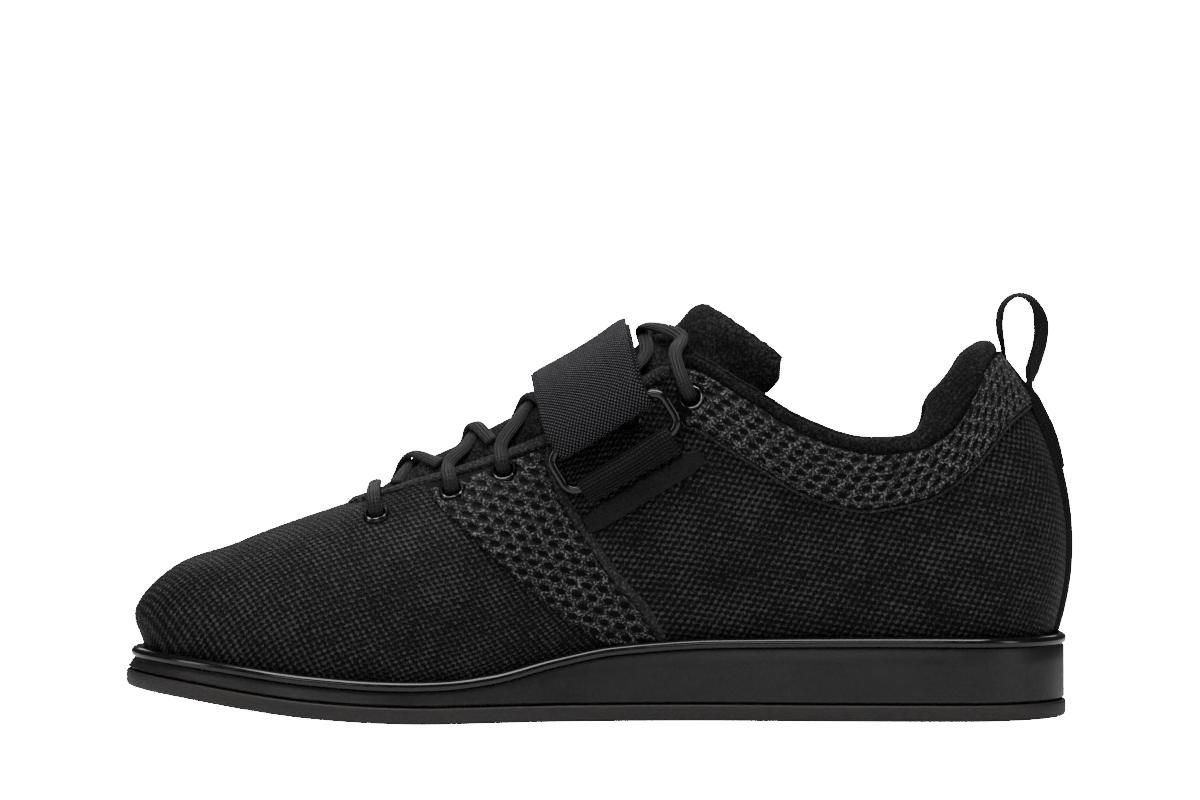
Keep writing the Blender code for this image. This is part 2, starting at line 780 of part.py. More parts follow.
def lace_side(number, side, outside):
    """Where a run starts or ends on one side: over the edge from its eyelet, or just inside the edge."""
    along = EYELETS["along"][number]
    inner_out = unit(np.array([-0.4, side * 0.6, 1.0]))
    aside = LACE_ASIDE / SOLE_LENGTH
    if not outside:
        inner = on_tongue(along - 1.6 * aside if number == 0 else along + aside, side * 0.6)
        return [inner + inner_out * LACE_LIFT], [inner_out]
    inner = on_tongue(along + 2 * aside if number == LAST_EYELET else along - aside, side * 0.5)
    place, out = on_skin(side, along, EYELETS["up"][number])
    lift = OVERLAY_STEP + LACE_LIFT
    if number == LAST_EYELET:
        edge, edge_out = on_skin(side, along + aside, 0.975)
        inner_lift = 2.2 * LACE_LIFT
    else:
        edge, _, edge_out = throat_at(along, side)
        inner_lift = 1.25 * LACE_LIFT
    over = unit(edge_out + inner_out)
    return (
        [place + out * (EYELET_PROUD + 1.2 * LACE_LIFT), edge + over * lift * 1.3, inner + inner_out * inner_lift],
        [out, over, inner_out],
    )


def make_laces():
    start_points, start_outs = lace_side(0, MEDIAL, True)
    end_points, end_outs = lace_side(0, LATERAL, True)
    top = on_tongue(EYELETS["along"][0], 0) + LACE_UP * LACE_LIFT * 1.4
    bar = lace_run(
        "lace_bar",
        start_points[:2] + [top] + end_points[1::-1],
        start_outs[:2] + [LACE_UP] + end_outs[1::-1],
    )
    finish(bar, (0.01, 0.01, 0.01), 0.85)
    for number in range(LAST_EYELET):
        middle = (EYELETS["along"][number] + EYELETS["along"][number + 1]) / 2
        rise = 1.5
        if number + 1 == LAST_EYELET:
            middle += LACE_ASIDE / SOLE_LENGTH
            rise = 2.2
        top = on_tongue(middle, 0) + LACE_UP * LACE_LIFT * rise
        runs = []
        for side in (MEDIAL, LATERAL):
            start_points, start_outs = lace_side(number, side, number > 0)
            end_points, end_outs = lace_side(number + 1, -side, number + 1 == LAST_EYELET)
            runs.append(
                lace_run(
                    f"lace_cross_{number + 1}" if side == MEDIAL else f"lace_over_{number + 1}",
                    start_points + [top] + end_points[::-1],
                    start_outs + [LACE_UP] + end_outs[::-1],
                    PARTS if side == MEDIAL else CUTTERS,
                )
            )
        cross, over = runs
        over.hide_render = True
        over.display_type = "WIRE"
        join = cross.modifiers.new("crossing", "BOOLEAN")
        join.operation = "UNION"
        join.object = over
        finish(cross, (0.01, 0.01, 0.01), 0.85)


# Ring, keeper and strap
RING_TILT = math.radians(30)
RING_ALONG = 0.475
RING_UP = 0.742
RING_OFF = LACE_THICK + EYELET_PROUD + CLEAR + RING_WIRE
RING_LEAN = math.radians(20)


def ring_frame():
    """The ring's middle, and its long, short and outward directions."""
    place, out = on_skin(MEDIAL, RING_ALONG, RING_UP)
    long_way = np.array([math.cos(RING_TILT), 0, math.sin(RING_TILT)])
    long_way = unit(long_way - out * np.dot(long_way, out))
    short_way = np.cross(out, long_way)
    short_way *= np.sign(short_way[2])
    leaning = short_way * math.cos(RING_LEAN) + out * math.sin(RING_LEAN)
    facing_out = np.cross(long_way, leaning)
    facing_out *= np.sign(np.dot(facing_out, out))
    return place + out * RING_OFF, long_way, leaning, facing_out


def make_ring():
    middle, long_way, short_way, _ = ring_frame()
    half_long = (RING_LENGTH - RING_WIRE) / 2
    half_short = (RING_WIDTH - RING_WIRE) / 2
    corner = RING_CORNER
    points = []
    for quarter in range(4):
        for part in range(5):
            angle = (quarter + part / 4) * math.pi / 2
            x = math.copysign(half_long - corner, math.cos((quarter + 0.5) * math.pi / 2)) + corner * math.cos(angle)
            y = math.copysign(half_short - corner, math.sin((quarter + 0.5) * math.pi / 2)) + corner * math.sin(angle)
            points.append(middle + long_way * x + short_way * y)
    curve = bpy.data.curves.new("ring", "CURVE")
    curve.dimensions = "3D"
    curve.bevel_depth = RING_WIRE / 2
    curve.bevel_resolution = 2
    spline = curve.splines.new("POLY")
    spline.points.add(len(points) - 1)
    for point, place in zip(spline.points, points):
        point.co = (*place, 1)
    spline.use_cyclic_u = True
    ring = put("ring", curve)
    finish(ring, (0.01, 0.01, 0.01), 0.15)


def band(name, faces, thick):
    """A ribbon with thickness from rows of places across its middle face."""
    faces = np.asarray(faces, float)
    out = unit(np.cross(np.gradient(faces, axis=0), np.gradient(faces, axis=1)))
    upper_face = faces + out * thick / 2
    lower_face = faces - out * thick / 2
    return loft(name, np.concatenate([upper_face, lower_face[:, ::-1]], axis=1))


WIDTH_WAYS = np.linspace(-1, 1, 5)
FOLD = np.linspace(0, math.pi, 6)


def round_bar(bar, long_way, short_way, out, wide, radius, towards):
    """Places round one of the ring's bars, from under it to over it, passing its far side."""
    rows = []
    for angle in FOLD:
        turn = towards * short_way * math.sin(angle) - out * math.cos(angle)
        rows.append([bar + long_way * wide / 2 * share + turn * radius for share in WIDTH_WAYS])
    return rows


def skin_row(side, along, up, slope, wide, off):
    """Places across a band's width on the upper, at an offset from its face."""
    row = []
    for share in WIDTH_WAYS:
        x_share = share * wide / 2 * math.cos(slope) / SOLE_LENGTH
        z_share = share * wide / 2 * math.sin(slope) / INSTEP_HEIGHT
        place, out = on_skin(side, along - x_share, up + z_share)
        row.append(place + out * off)
    return row


def make_keeper():
    middle, long_way, short_way, out = ring_frame()
    reach = (RING_WIDTH - RING_WIRE) / 2
    bar = middle - short_way * reach
    radius = RING_WIRE / 2 + GAP + WEBBING_THICK / 2
    fold = round_bar(bar, long_way, short_way, out, KEEPER_WIDTH, radius, 1)
    down = reach + RING_WIRE + KEEPER_LEG
    low = middle - short_way * down
    under_off = OVERLAY_STEP + CLEAR + WEBBING_THICK / 2
    end_along = (HEEL_X - low[0]) / SOLE_LENGTH
    end_up = low[2] / INSTEP_HEIGHT
    under = skin_row(MEDIAL, end_along, end_up, RING_TILT, KEEPER_WIDTH, under_off)
    over = skin_row(MEDIAL, end_along, end_up, RING_TILT, KEEPER_WIDTH, under_off + WEBBING_THICK + GAP)
    keeper = band("ring_keeper", [under] + fold + [over], WEBBING_THICK)
    finish(keeper, (0.012, 0.012, 0.013), 0.7)
    patch_wide = 0.008
    gap_down = patch_wide / 2 + WEBBING_THICK
    rows = []
    for share in np.linspace(-1, 1, 7):
        reach_long = share * KEEPER_WIDTH * 0.64
        row = []
        for part in (1, 0, -1):
            place = low - short_way * (gap_down - part * patch_wide / 2) + long_way * reach_long
            seat, seat_out = on_skin(MEDIAL, (HEEL_X - place[0]) / SOLE_LENGTH, place[2] / INSTEP_HEIGHT)
            row.append(seat + seat_out * (OVERLAY_STEP + GAP + WEBBING_THICK / 2))
        rows.append(row)
    finish(band("keeper_patch", rows, WEBBING_THICK), (0.009, 0.009, 0.01), 0.55)


# Rows of the strap's outer half, from the instep down to its anchor on the outer flank. along and up place
# its middle as it shows from the side, and off is how far it stands from the upper, of STRAP_THICK.
STRAP_OUTER = table(
    "along up off",
    (0.500, 0.800, 3.1),
    (0.488, 0.700, 2.1),
    (0.476, 0.600, 1.35),
    (0.466, 0.500, 1.20),
    (0.458, 0.410, 1.15),
)
STRAP_ALONG = 0.519
FOLD_WIDTH = RING_LENGTH - RING_WIRE - 2 * RING_CORNER - 2 * CLEAR
STRAP_TILT = math.radians(31)
ARCH_ROWS = 5


def arch(low, high, count):
    """Rows from a flank row up a round shoulder to the row on the instep, without either end."""
    last = math.radians(72)
    rows = []
    for part in np.linspace(1, 0, count + 2)[1:-1]:
        angle = last * part
        side_share = math.sin(angle) / math.sin(last)
        drop_share = (1 - math.cos(angle)) / (1 - math.cos(last))
        rows.append(high + (low - high) * np.array([drop_share, side_share, drop_share]))
    return rows


def make_strap():
    middle, long_way, short_way, out = ring_frame()
    bar = middle + short_way * (RING_WIDTH - RING_WIRE) / 2
    radius = RING_WIRE / 2 + GAP + STRAP_THICK / 2
    fold = np.array(round_bar(bar, long_way, short_way, out, FOLD_WIDTH, radius, -1))
    apart = STRAP_THICK + GAP
    lift = 2 * LACE_THICK + 4 * CLEAR
    instep = []
    for share in WIDTH_WAYS:
        along = STRAP_ALONG - share * STRAP_WIDTH / 2 * math.cos(STRAP_TILT) / SOLE_LENGTH
        instep.append(on_tongue(along, 0) + np.array([-math.sin(STRAP_TILT), 0, math.cos(STRAP_TILT)]) * lift)
    instep = np.array(instep)
    outer = []
    for along, up, off in zip(STRAP_OUTER["along"], STRAP_OUTER["up"], STRAP_OUTER["off"]):
        outer.append(skin_row(LATERAL, along, up, math.radians(25), STRAP_WIDTH, off * STRAP_THICK))
    outer = np.array(outer)
    past_bar = fold[0] + short_way * radius * 1.4
    inner = [past_bar, *arch(past_bar, instep, ARCH_ROWS), instep]
    base = np.array([*inner, *arch(outer[0], instep, ARCH_ROWS)[::-1], *outer])
    away = unit(np.cross(np.gradient(base, axis=1), np.gradient(base, axis=0)))
    away *= np.sign(away[ARCH_ROWS, 2, 2])
    spread = np.zeros(len(base))
    spread[:ARCH_ROWS] = np.linspace(1, 0, ARCH_ROWS) ** 2
    back = base + away * (apart + (2 * radius - apart) * spread)[:, None, None]
    rows = np.concatenate([base[::-1], fold, back[:-1]])
    finish(band("strap", rows, STRAP_THICK), (0.012, 0.012, 0.013), 0.6)


# Pull loop. back is a share of LOOP_WIDTH behind the heel's top edge and up a share of LOOP_HEIGHT above it.
PULL_LOOP = table(
    "back up",
    (0.13, 0.16),
    (0.13, 0.48),
    (0.24, 0.79),
    (0.48, 0.96),
    (0.76, 0.88),
    (0.97, 0.60),
    (1.05, 0.28),
    (1.03, -0.10),
    (0.98, -0.44),
)
LOOP_JOINT = 0.017


def make_pull_loop():
    wall = WALLS[0]
    long = wall_length(wall)
    depths = np.array([long - 0.0045, long * 0.8, long * 0.62, long * 0.45, long * 0.3, LOOP_JOINT, 0.009, 0.002])
    off = GAP * 1.4 + OVERLAY_STEP + WEBBING_THICK / 2
    places, outs = skin_at(0, depths)
    seam = list(places + outs * off)
    top = wall[-1]
    loop = [
        top + np.array([back * LOOP_WIDTH, 0, up * LOOP_HEIGHT])
        for back, up in zip(PULL_LOOP["back"], PULL_LOOP["up"])
    ]
    end = seam[5] + unit(np.array([1.0, 0, 0.4])) * (WEBBING_THICK + GAP * 1.4)
    path = np.array(seam + loop + [end])
    path = through(path, 34)
    rows = [[place + np.array([0, LOOP_WEBBING / 2 * share, 0]) for share in (-1, 1)] for place in path]
    finish(band("pull_loop", rows, WEBBING_THICK), (0.014, 0.013, 0.014), 0.6)


def main():
    start()
    make_sole()
    shape_upper()
    upper = make_upper()
    make_welt()
    make_lining()
    shape_tongue()
    make_tongue()
    make_eyelets(upper)
    make_laces()
    make_ring()
    make_keeper()
    make_strap()
    make_pull_loop()


main()
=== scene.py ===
"""A black weightlifting shoe, dressed for its portrait: a right shoe, seen from its inner side.

Metres, +Z up. The toe points along -X, the inner side faces -Y and the origin is on the floor.
"""

import math

import bmesh
import bpy
import numpy as np
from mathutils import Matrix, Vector
from mathutils.kdtree import KDTree


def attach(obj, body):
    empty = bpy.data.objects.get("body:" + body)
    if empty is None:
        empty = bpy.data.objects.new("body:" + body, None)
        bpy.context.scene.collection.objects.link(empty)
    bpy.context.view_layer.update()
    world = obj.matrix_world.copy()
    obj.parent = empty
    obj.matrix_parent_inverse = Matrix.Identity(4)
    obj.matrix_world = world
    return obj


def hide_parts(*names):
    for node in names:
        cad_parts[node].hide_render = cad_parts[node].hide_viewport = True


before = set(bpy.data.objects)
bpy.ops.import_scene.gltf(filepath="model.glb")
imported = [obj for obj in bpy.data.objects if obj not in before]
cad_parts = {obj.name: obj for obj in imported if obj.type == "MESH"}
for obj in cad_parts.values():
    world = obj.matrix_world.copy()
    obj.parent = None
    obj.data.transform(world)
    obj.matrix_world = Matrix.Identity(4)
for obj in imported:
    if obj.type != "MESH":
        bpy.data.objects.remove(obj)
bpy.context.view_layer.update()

# Studio: a long lens looks a little down on the inner side. The shoe stands on a pale floor that sweeps
# up behind it, lit by one broad soft light above, one low in front and two strips that draw the rim's gloss.
PICTURE_WIDE = 1200
PICTURE_MIDDLE_Y = 400
GROUND_LINE_Y = 720
METRES_A_PIXEL = 0.0003066
CAMERA_FAR = 3.5
CAMERA_RISE = math.radians(2.6)
FLOOR_REACH = 9.0
SWEEP_START = 4.8
SWEEP_ROUND = 1.2

camera_data = bpy.data.cameras.new("camera")
camera_data.lens = camera_data.sensor_width * CAMERA_FAR / (PICTURE_WIDE * METRES_A_PIXEL)
camera_data.clip_end = 50
camera = bpy.data.objects.new("camera", camera_data)
aim_height = (GROUND_LINE_Y - PICTURE_MIDDLE_Y) * METRES_A_PIXEL - 0.0015
camera.location = (0, -CAMERA_FAR * math.cos(CAMERA_RISE), aim_height + CAMERA_FAR * math.sin(CAMERA_RISE))
camera.rotation_euler = (math.pi / 2 - CAMERA_RISE, 0, 0)
bpy.context.scene.collection.objects.link(camera)
bpy.context.scene.camera = camera


def paint(name, colour, roughness, **others):
    """A material with its shader's own sockets set, and the tree and shader to add to."""
    material = bpy.data.materials.new(name)
    material.use_nodes = True
    shader = material.node_tree.nodes["Principled BSDF"]
    shader.inputs["Base Color"].default_value = (*colour, 1)
    shader.inputs["Roughness"].default_value = roughness
    for socket, value in others.items():
        shader.inputs[socket.replace("_", " ")].default_value = value
    return material, material.node_tree, shader


def shown_white(tree, strength):
    """A strength that only what is seen directly has, so that the backdrop shows white but lights nothing."""
    path = tree.nodes.new("ShaderNodeLightPath")
    made = tree.nodes.new("ShaderNodeMath")
    made.operation = "MULTIPLY"
    made.inputs[1].default_value = strength
    tree.links.new(path.outputs["Is Camera Ray"], made.inputs[0])
    return made.outputs[0]


FLOOR_GLOW = 40.0
WORLD_SHOWN = 45.0
WORLD_LIGHT = 0.04
floor_paint, floor_tree, floor_shader = paint(
    "pale floor", (0.85, 0.85, 0.85), 0.8, Emission_Color=(1, 1, 1, 1)
)
floor_tree.links.new(shown_white(floor_tree, FLOOR_GLOW), floor_shader.inputs["Emission Strength"])
sweep = [(-FLOOR_REACH, 0), (SWEEP_START, 0)]
for step in range(1, 13):
    angle = step / 12 * math.pi / 2
    sweep.append((SWEEP_START + SWEEP_ROUND * math.sin(angle), SWEEP_ROUND * (1 - math.cos(angle))))
sweep.append((SWEEP_START + SWEEP_ROUND, FLOOR_REACH))
floor_mesh = bpy.data.meshes.new("floor")
floor_mesh.from_pydata(
    [(x, y, z) for y, z in sweep for x in (-FLOOR_REACH, FLOOR_REACH)],
    [],
    [(2 * i, 2 * i + 1, 2 * i + 3, 2 * i + 2) for i in range(len(sweep) - 1)],
)
floor_mesh.shade_smooth()
floor_mesh.materials.append(floor_paint)
floor = bpy.data.objects.new("floor", floor_mesh)
bpy.context.scene.collection.objects.link(floor)

STUDIO_LIGHTS = (
    ("light_above", (0.0, -0.15, 1.3), (1.0, 0.7), 15),
    ("light_front", (-0.4, -1.6, 0.9), (1.0, 0.5), 4.0),
    ("light_toe", (-1.3, -0.5, 0.5), (0.4, 0.9), 3),
    ("light_heel", (1.3, -0.7, 0.6), (0.4, 0.9), 3),
    ("light_rear", (0.0, 1.2, 0.8), (1.4, 0.5), 4),
)
for name, place, (wide, deep), watts in STUDIO_LIGHTS:
    light_data = bpy.data.lights.new(name, "AREA")
    light_data.shape = "RECTANGLE"
    light_data.size = wide
    light_data.size_y = deep
    light_data.energy = watts
    light = bpy.data.objects.new(name, light_data)
    light.location = place
    light.rotation_euler = (Vector((0, 0, 0.06)) - Vector(place)).to_track_quat("-Z", "Y").to_euler()
    bpy.context.scene.collection.objects.link(light)
world = bpy.data.worlds.new("studio")
world.use_nodes = True
sky = world.node_tree.nodes["Background"]
sky.inputs["Color"].default_value = (1, 1, 1, 1)
sky_strength = world.node_tree.nodes.new("ShaderNodeMath")
sky_strength.inputs[1].default_value = WORLD_LIGHT
world.node_tree.links.new(shown_white(world.node_tree, WORLD_SHOWN - WORLD_LIGHT), sky_strength.inputs[0])
world.node_tree.links.new(sky_strength.outputs[0], sky.inputs["Strength"])
bpy.context.scene.world = world


# Sole: a firm rubber wedge with a thin grippy outsole moulded under it, both close to black. The outsole's
# edge stands a little proud, and four shallow slits run across its lower corner towards the heel.
SOLE_LENGTH = 0.288
BALL_WIDTH = 0.103
HEEL_WIDTH = 0.073
HEEL_STACK = 0.0258
FOREFOOT_STACK = 0.0134
TOE_SPRING = 0.0099
OUTSOLE_THICK = 0.0052
HEEL_OVERHANG = 0.002
RIM_HEIGHT = 0.0033
RIM_LEDGE = 0.0046
INSOLE_THICK = 0.0045
WALL = 0.002
GAP = 0.0003
CLEAR = 0.0008
MEDIAL = -1
LATERAL = 1
HALF = 120
AROUND = 2 * HALF
HEEL_X = (SOLE_LENGTH - HEEL_OVERHANG) / 2


def table(names, *rows):
    """A short table as one array for each named column."""
    return dict(zip(names.split(), np.array(rows, float).T))


# Plan of the sole from heel to toe. along is a share of SOLE_LENGTH, centre and by_ball are shares of
# BALL_WIDTH, and by_heel is a share of HEEL_WIDTH. The half width is the sum of the last two.
SOLE_PLAN = table(
    "along centre by_ball by_heel",
    (0.00, 0.000, 0.00, 0.47),
    (0.12, 0.000, 0.00, 0.50),
    (0.26, 0.012, 0.00, 0.49),
    (0.40, 0.045, 0.10, 0.35),
    (0.52, 0.045, 0.27, 0.15),
    (0.63, 0.025, 0.45, 0.00),
    (0.72, 0.000, 0.50, 0.00),
    (0.80, -0.020, 0.49, 0.00),
    (0.90, -0.050, 0.43, 0.00),
    (1.00, -0.080, 0.37, 0.00),
)
HEEL_ROUND = 0.115
TOE_ROUND = 0.20
ROUNDNESS = 2.2

# Side view of the sole. lift is the share of the way from forefoot stack to heel stack, spring a share of
# TOE_SPRING, and draft how far the wall leans in from the outsole to the rim, as a share of RIM_LEDGE.
SOLE_SIDE = table(
    "along lift spring draft",
    (0.00, 0.98, 0.00, 0.13),
    (0.18, 1.01, 0.00, 0.15),
    (0.37, 0.96, 0.00, 0.20),
    (0.48, 0.79, 0.00, 0.25),
    (0.54, 0.52, 0.00, 0.25),
    (0.61, 0.12, 0.00, 0.25),
    (0.66, 0.00, 0.00, 0.25),
    (0.73, -0.03, 0.06, 0.25),
    (0.80, -0.02, 0.21, 0.28),
    (0.87, -0.02, 0.46, 0.32),
    (0.93, -0.05, 0.72, 0.38),
    (1.00, -0.10, 1.00, 0.46),
)


def smooth(rows, name, at, key="along"):
    """A column's value at any share, on a smooth curve that never overshoots its rows."""
    x = rows[key]
    y = rows[name]
    at = np.asarray(at, float)
    secant = np.diff(y) / np.diff(x)
    product = secant[:-1] * secant[1:]
    total = secant[:-1] + secant[1:]
    inner = np.where(product > 0, 2 * product / np.where(total == 0, 1, total), 0)
    slope = np.concatenate(([secant[0]], inner, [secant[-1]]))
    i = np.clip(np.searchsorted(x, at, side="right") - 1, 0, len(x) - 2)
    step = x[i + 1] - x[i]
    t = np.clip((at - x[i]) / step, 0, 1)
    low = (1 + 2 * t) * (1 - t) ** 2 * y[i] + t * (1 - t) ** 2 * step * slope[i]
    high = t * t * (3 - 2 * t) * y[i + 1] + t * t * (t - 1) * step * slope[i + 1]
    return low + high


def unit(vectors):
    return vectors / np.linalg.norm(vectors, axis=-1, keepdims=True)


def metres_along(line):
    """How far along a line of places each of them lies."""
    return np.concatenate([[0], np.cumsum(np.linalg.norm(np.diff(line, axis=0), axis=1))])


# Sections are spread round the shoe so that they stand closest at heel and toe.
def share_along(around):
    return (1 - np.cos(np.pi * around)) / 2


def turns(count=AROUND):
    """Each section's share from heel to toe and its side, round by the inner side and back by the outer."""
    turn = 2 * np.arange(count) / count
    side = np.where(turn <= 1, MEDIAL, LATERAL)
    return np.where(turn <= 1, turn, 2 - turn), side


def closing(share, reach):
    near = np.clip(1 - share / reach, 0, 1)
    return (1 - near**ROUNDNESS) ** (1 / ROUNDNESS)


def plan_edge(around, side):
    """The outsole's edge, seen from above."""
    along = share_along(around)
    half = BALL_WIDTH * smooth(SOLE_PLAN, "by_ball", along) + HEEL_WIDTH * smooth(
        SOLE_PLAN, "by_heel", along
    )
    half = half * closing(along, HEEL_ROUND) * closing(1 - along, TOE_ROUND)
    y = BALL_WIDTH * smooth(SOLE_PLAN, "centre", along) + side * half
    return np.stack([HEEL_X - along * SOLE_LENGTH, y], axis=-1)


def plan_loop(inset):
    """The outsole's edge moved in by inset, as one loop, with its outward directions."""
    around, side = turns()
    edge = plan_edge(around, side)
    tangent = np.roll(edge, -1, axis=0) - np.roll(edge, 1, axis=0)
    outward = unit(np.stack([-tangent[:, 1], tangent[:, 0]], axis=-1))
    middle = edge.mean(axis=0)
    outward *= np.sign(np.sum(outward * (edge - middle), axis=1).sum())
    return edge - outward * np.reshape(inset, (-1, 1)), outward


ALL_ROUND = np.linspace(0, 1, 200)
MIDDLE_Y = (plan_edge(ALL_ROUND, MEDIAL)[:, 1].min() + plan_edge(ALL_ROUND, LATERAL)[:, 1].max()) / 2


def ground_at(along):
    return TOE_SPRING * smooth(SOLE_SIDE, "spring", along)


def rim_top_at(along):
    lift = smooth(SOLE_SIDE, "lift", along)
    return FOREFOOT_STACK + (HEEL_STACK - FOREFOOT_STACK) * lift + ground_at(along)


def seat_at(along):
    """Top of the midsole, on which welt, upper and insole stand."""
    return rim_top_at(along) - RIM_HEIGHT


def level(inset, height):
    """One loop round the sole at a given inset and height, both numbers or one value a section."""
    edge, _ = plan_loop(inset)
    high = np.broadcast_to(height, (AROUND,))
    return np.column_stack([edge[:, 0], edge[:, 1] - MIDDLE_Y, high])


def place_piece(name, mesh, material, sharp=40):
    """A finished mesh as a piece of the shoe, which rides on its one body."""
    mesh.shade_smooth()
    mesh.set_sharp_from_angle(angle=math.radians(sharp))
    mesh.materials.clear()
    mesh.materials.append(material)
    piece = bpy.data.objects.new(name, mesh)
    bpy.context.scene.collection.objects.link(piece)
    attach(piece, "root")
    return piece


def woven(name, grid, closed=False, tube=True, capped=False, cloth=None):
    """A mesh on rows of places. tube joins each row's ends, closed joins the last row to the first.

    cloth gives each place its flat coordinates in metres, with one row or place more where the mesh joins up.
    """
    grid = np.asarray(grid, float)
    rows, points = grid.shape[:2]
    shape = bmesh.new()
    corners = [[shape.verts.new(place) for place in row] for row in grid]
    flat = shape.loops.layers.uv.new("cloth") if cloth is not None else None
    for i in range(rows if closed else rows - 1):
        for j in range(points if tube else points - 1):
            near = (i, j), (i, j + 1), (i + 1, j + 1), (i + 1, j)
            face = shape.faces.new([corners[a % rows][b % points] for a, b in near])
            if flat is not None:
                for loop, (a, b) in zip(face.loops, near):
                    loop[flat].uv = cloth[a, b]
    if capped:
        shape.faces.new(corners[0])
        shape.faces.new(corners[-1])
    if tube or closed:
        bmesh.ops.recalc_face_normals(shape, faces=shape.faces[:])
    mesh = bpy.data.meshes.new(name)
    shape.to_mesh(mesh)
    shape.free()
    return mesh


def calc(tree, operation, *values):
    """A Math node's result, from numbers and sockets."""
    made = tree.nodes.new("ShaderNodeMath")
    made.operation = operation
    for place, value in enumerate(values):
        if isinstance(value, (int, float)):
            made.inputs[place].default_value = value
        else:
            tree.links.new(value, made.inputs[place])
    return made.outputs[0]


def coordinates(tree, scale=(1, 1, 1), turn=0.0, cloth=None):
    """Object coordinates, or a piece's own flat cloth ones, turned and scaled."""
    if cloth:
        source = tree.nodes.new("ShaderNodeUVMap")
        source.uv_map = cloth
        place = source.outputs[0]
    else:
        place = tree.nodes.new("ShaderNodeTexCoord").outputs["Object"]
    mapping = tree.nodes.new("ShaderNodeMapping")
    mapping.inputs["Scale"].default_value = scale
    mapping.inputs["Rotation"].default_value = (0, 0, turn)
    tree.links.new(place, mapping.inputs["Vector"])
    return mapping.outputs[0]


def noise(tree, place, size, detail=3.0):
    """Soft random values from 0 to 1, with patches of about one size in metres."""
    made = tree.nodes.new("ShaderNodeTexNoise")
    made.inputs["Scale"].default_value = 1 / size
    made.inputs["Detail"].default_value = detail
    tree.links.new(place, made.inputs["Vector"])
    return made.outputs[0]


def ease(tree, value, low, high, start=0.0, end=1.0):
    """A value eased from start to end as it goes from low to high."""
    made = tree.nodes.new("ShaderNodeMapRange")
    made.interpolation_type = "SMOOTHSTEP"
    for socket, number in zip(made.inputs[1:5], (low, high, start, end)):
        socket.default_value = number
    tree.links.new(value, made.inputs[0])
    return made.outputs[0]


def blend_colour(tree, share, first, second):
    """Two colours or colour sockets mixed by a share."""
    made = tree.nodes.new("ShaderNodeMix")
    made.data_type = "RGBA"
    tree.links.new(share, made.inputs[0])
    for socket, colour in ((made.inputs[6], first), (made.inputs[7], second)):
        if isinstance(colour, tuple):
            socket.default_value = (*colour, 1)
        else:
            tree.links.new(colour, socket)
    return made.outputs[2]


def coloured(tree, shader, share, first, second):
    """The shader's colour, mixed from two by a share."""
    tree.links.new(blend_colour(tree, share, first, second), shader.inputs["Base Color"])


def dulled(tree, shader, value, low, high, start, end):
    """The shader's roughness, eased from start to end as a value goes from low to high."""
    tree.links.new(ease(tree, value, low, high, start, end), shader.inputs["Roughness"])


def emboss(tree, shader, height, depth):
    """Bump of a real depth in metres on the shader, from heights of 0 to 1."""
    made = tree.nodes.new("ShaderNodeBump")
    made.inputs["Strength"].default_value = 1.0
    made.inputs["Distance"].default_value = depth
    tree.links.new(height, made.inputs["Height"])
    tree.links.new(made.outputs[0], shader.inputs["Normal"])


def moulded_rubber(name, colour, worn, roughness, grain):
    """Moulded rubber with a fine grain, faint cloudy wear and duller patches."""
    material, tree, shader = paint(name, colour, roughness, Specular_IOR_Level=0.45)
    place = coordinates(tree)
    cloud = noise(tree, place, 0.018)
    fine = noise(tree, place, 0.0007, 5.0)
    coloured(tree, shader, cloud, colour, worn)
    dulled(tree, shader, cloud, 0.2, 0.8, roughness - 0.08, roughness + 0.08)
    emboss(tree, shader, fine, grain)
    return material


outsole_rubber = moulded_rubber(
    "outsole rubber", (0.026, 0.024, 0.024), (0.040, 0.037, 0.035), 0.55, 0.00008
)
wedge_rubber = moulded_rubber("wedge rubber", (0.017, 0.0155, 0.016), (0.027, 0.025, 0.024), 0.42, 0.00005)
round_along = share_along(turns()[0])
ground = ground_at(round_along)
sole_step = ground + OUTSOLE_THICK
seat = seat_at(round_along)
draft = RIM_LEDGE * smooth(SOLE_SIDE, "draft", round_along)
CORNER_ROUND = 0.0012
SOLE_PROUD = 0.0005


def slab(name, levels, material, node):
    """A flat-ended solid through levels of the sole's outline, standing for a plain one."""
    piece = place_piece(name, woven(name, levels, capped=True), material, 50)
    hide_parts(node)
    return piece


SLITS = (0.345, 0.171, 0.080, 0.052)
SLIT_WIDTH = 0.0035
SLIT_DEEP = 0.0009
slit = np.zeros(AROUND)
for slit_along in SLITS:
    slit += np.exp(-(((round_along - slit_along) * SOLE_LENGTH / SLIT_WIDTH * 2) ** 4))
corner_inset = CORNER_ROUND * 0.75 + SLIT_DEEP * slit
slab(
    "grip_outsole",
    [
        level(CORNER_ROUND * 2.0, ground),
        level(CORNER_ROUND * 0.9, ground + CORNER_ROUND * 0.08),
        level(corner_inset * 0.5, ground + CORNER_ROUND * 0.35),
        level(0, ground + CORNER_ROUND),
        level(0, sole_step - 0.0008),
        level(0.0002, sole_step - 0.0003),
        level(0.0008, sole_step),
    ],
    outsole_rubber,
    "outsole",
)
slab(
    "wedge_midsole",
    [
        level(0.0014, sole_step + GAP),
        level(SOLE_PROUD, sole_step + 0.0009),
        level((2 * SOLE_PROUD + draft) / 3, (2 * sole_step + seat) / 3),
        level((SOLE_PROUD + 2 * draft) / 3, (sole_step + 2 * seat) / 3),
        level(draft, seat - 0.0008),
        level(draft + 0.0006, seat),
    ],
    wedge_rubber,
    "midsole",
)


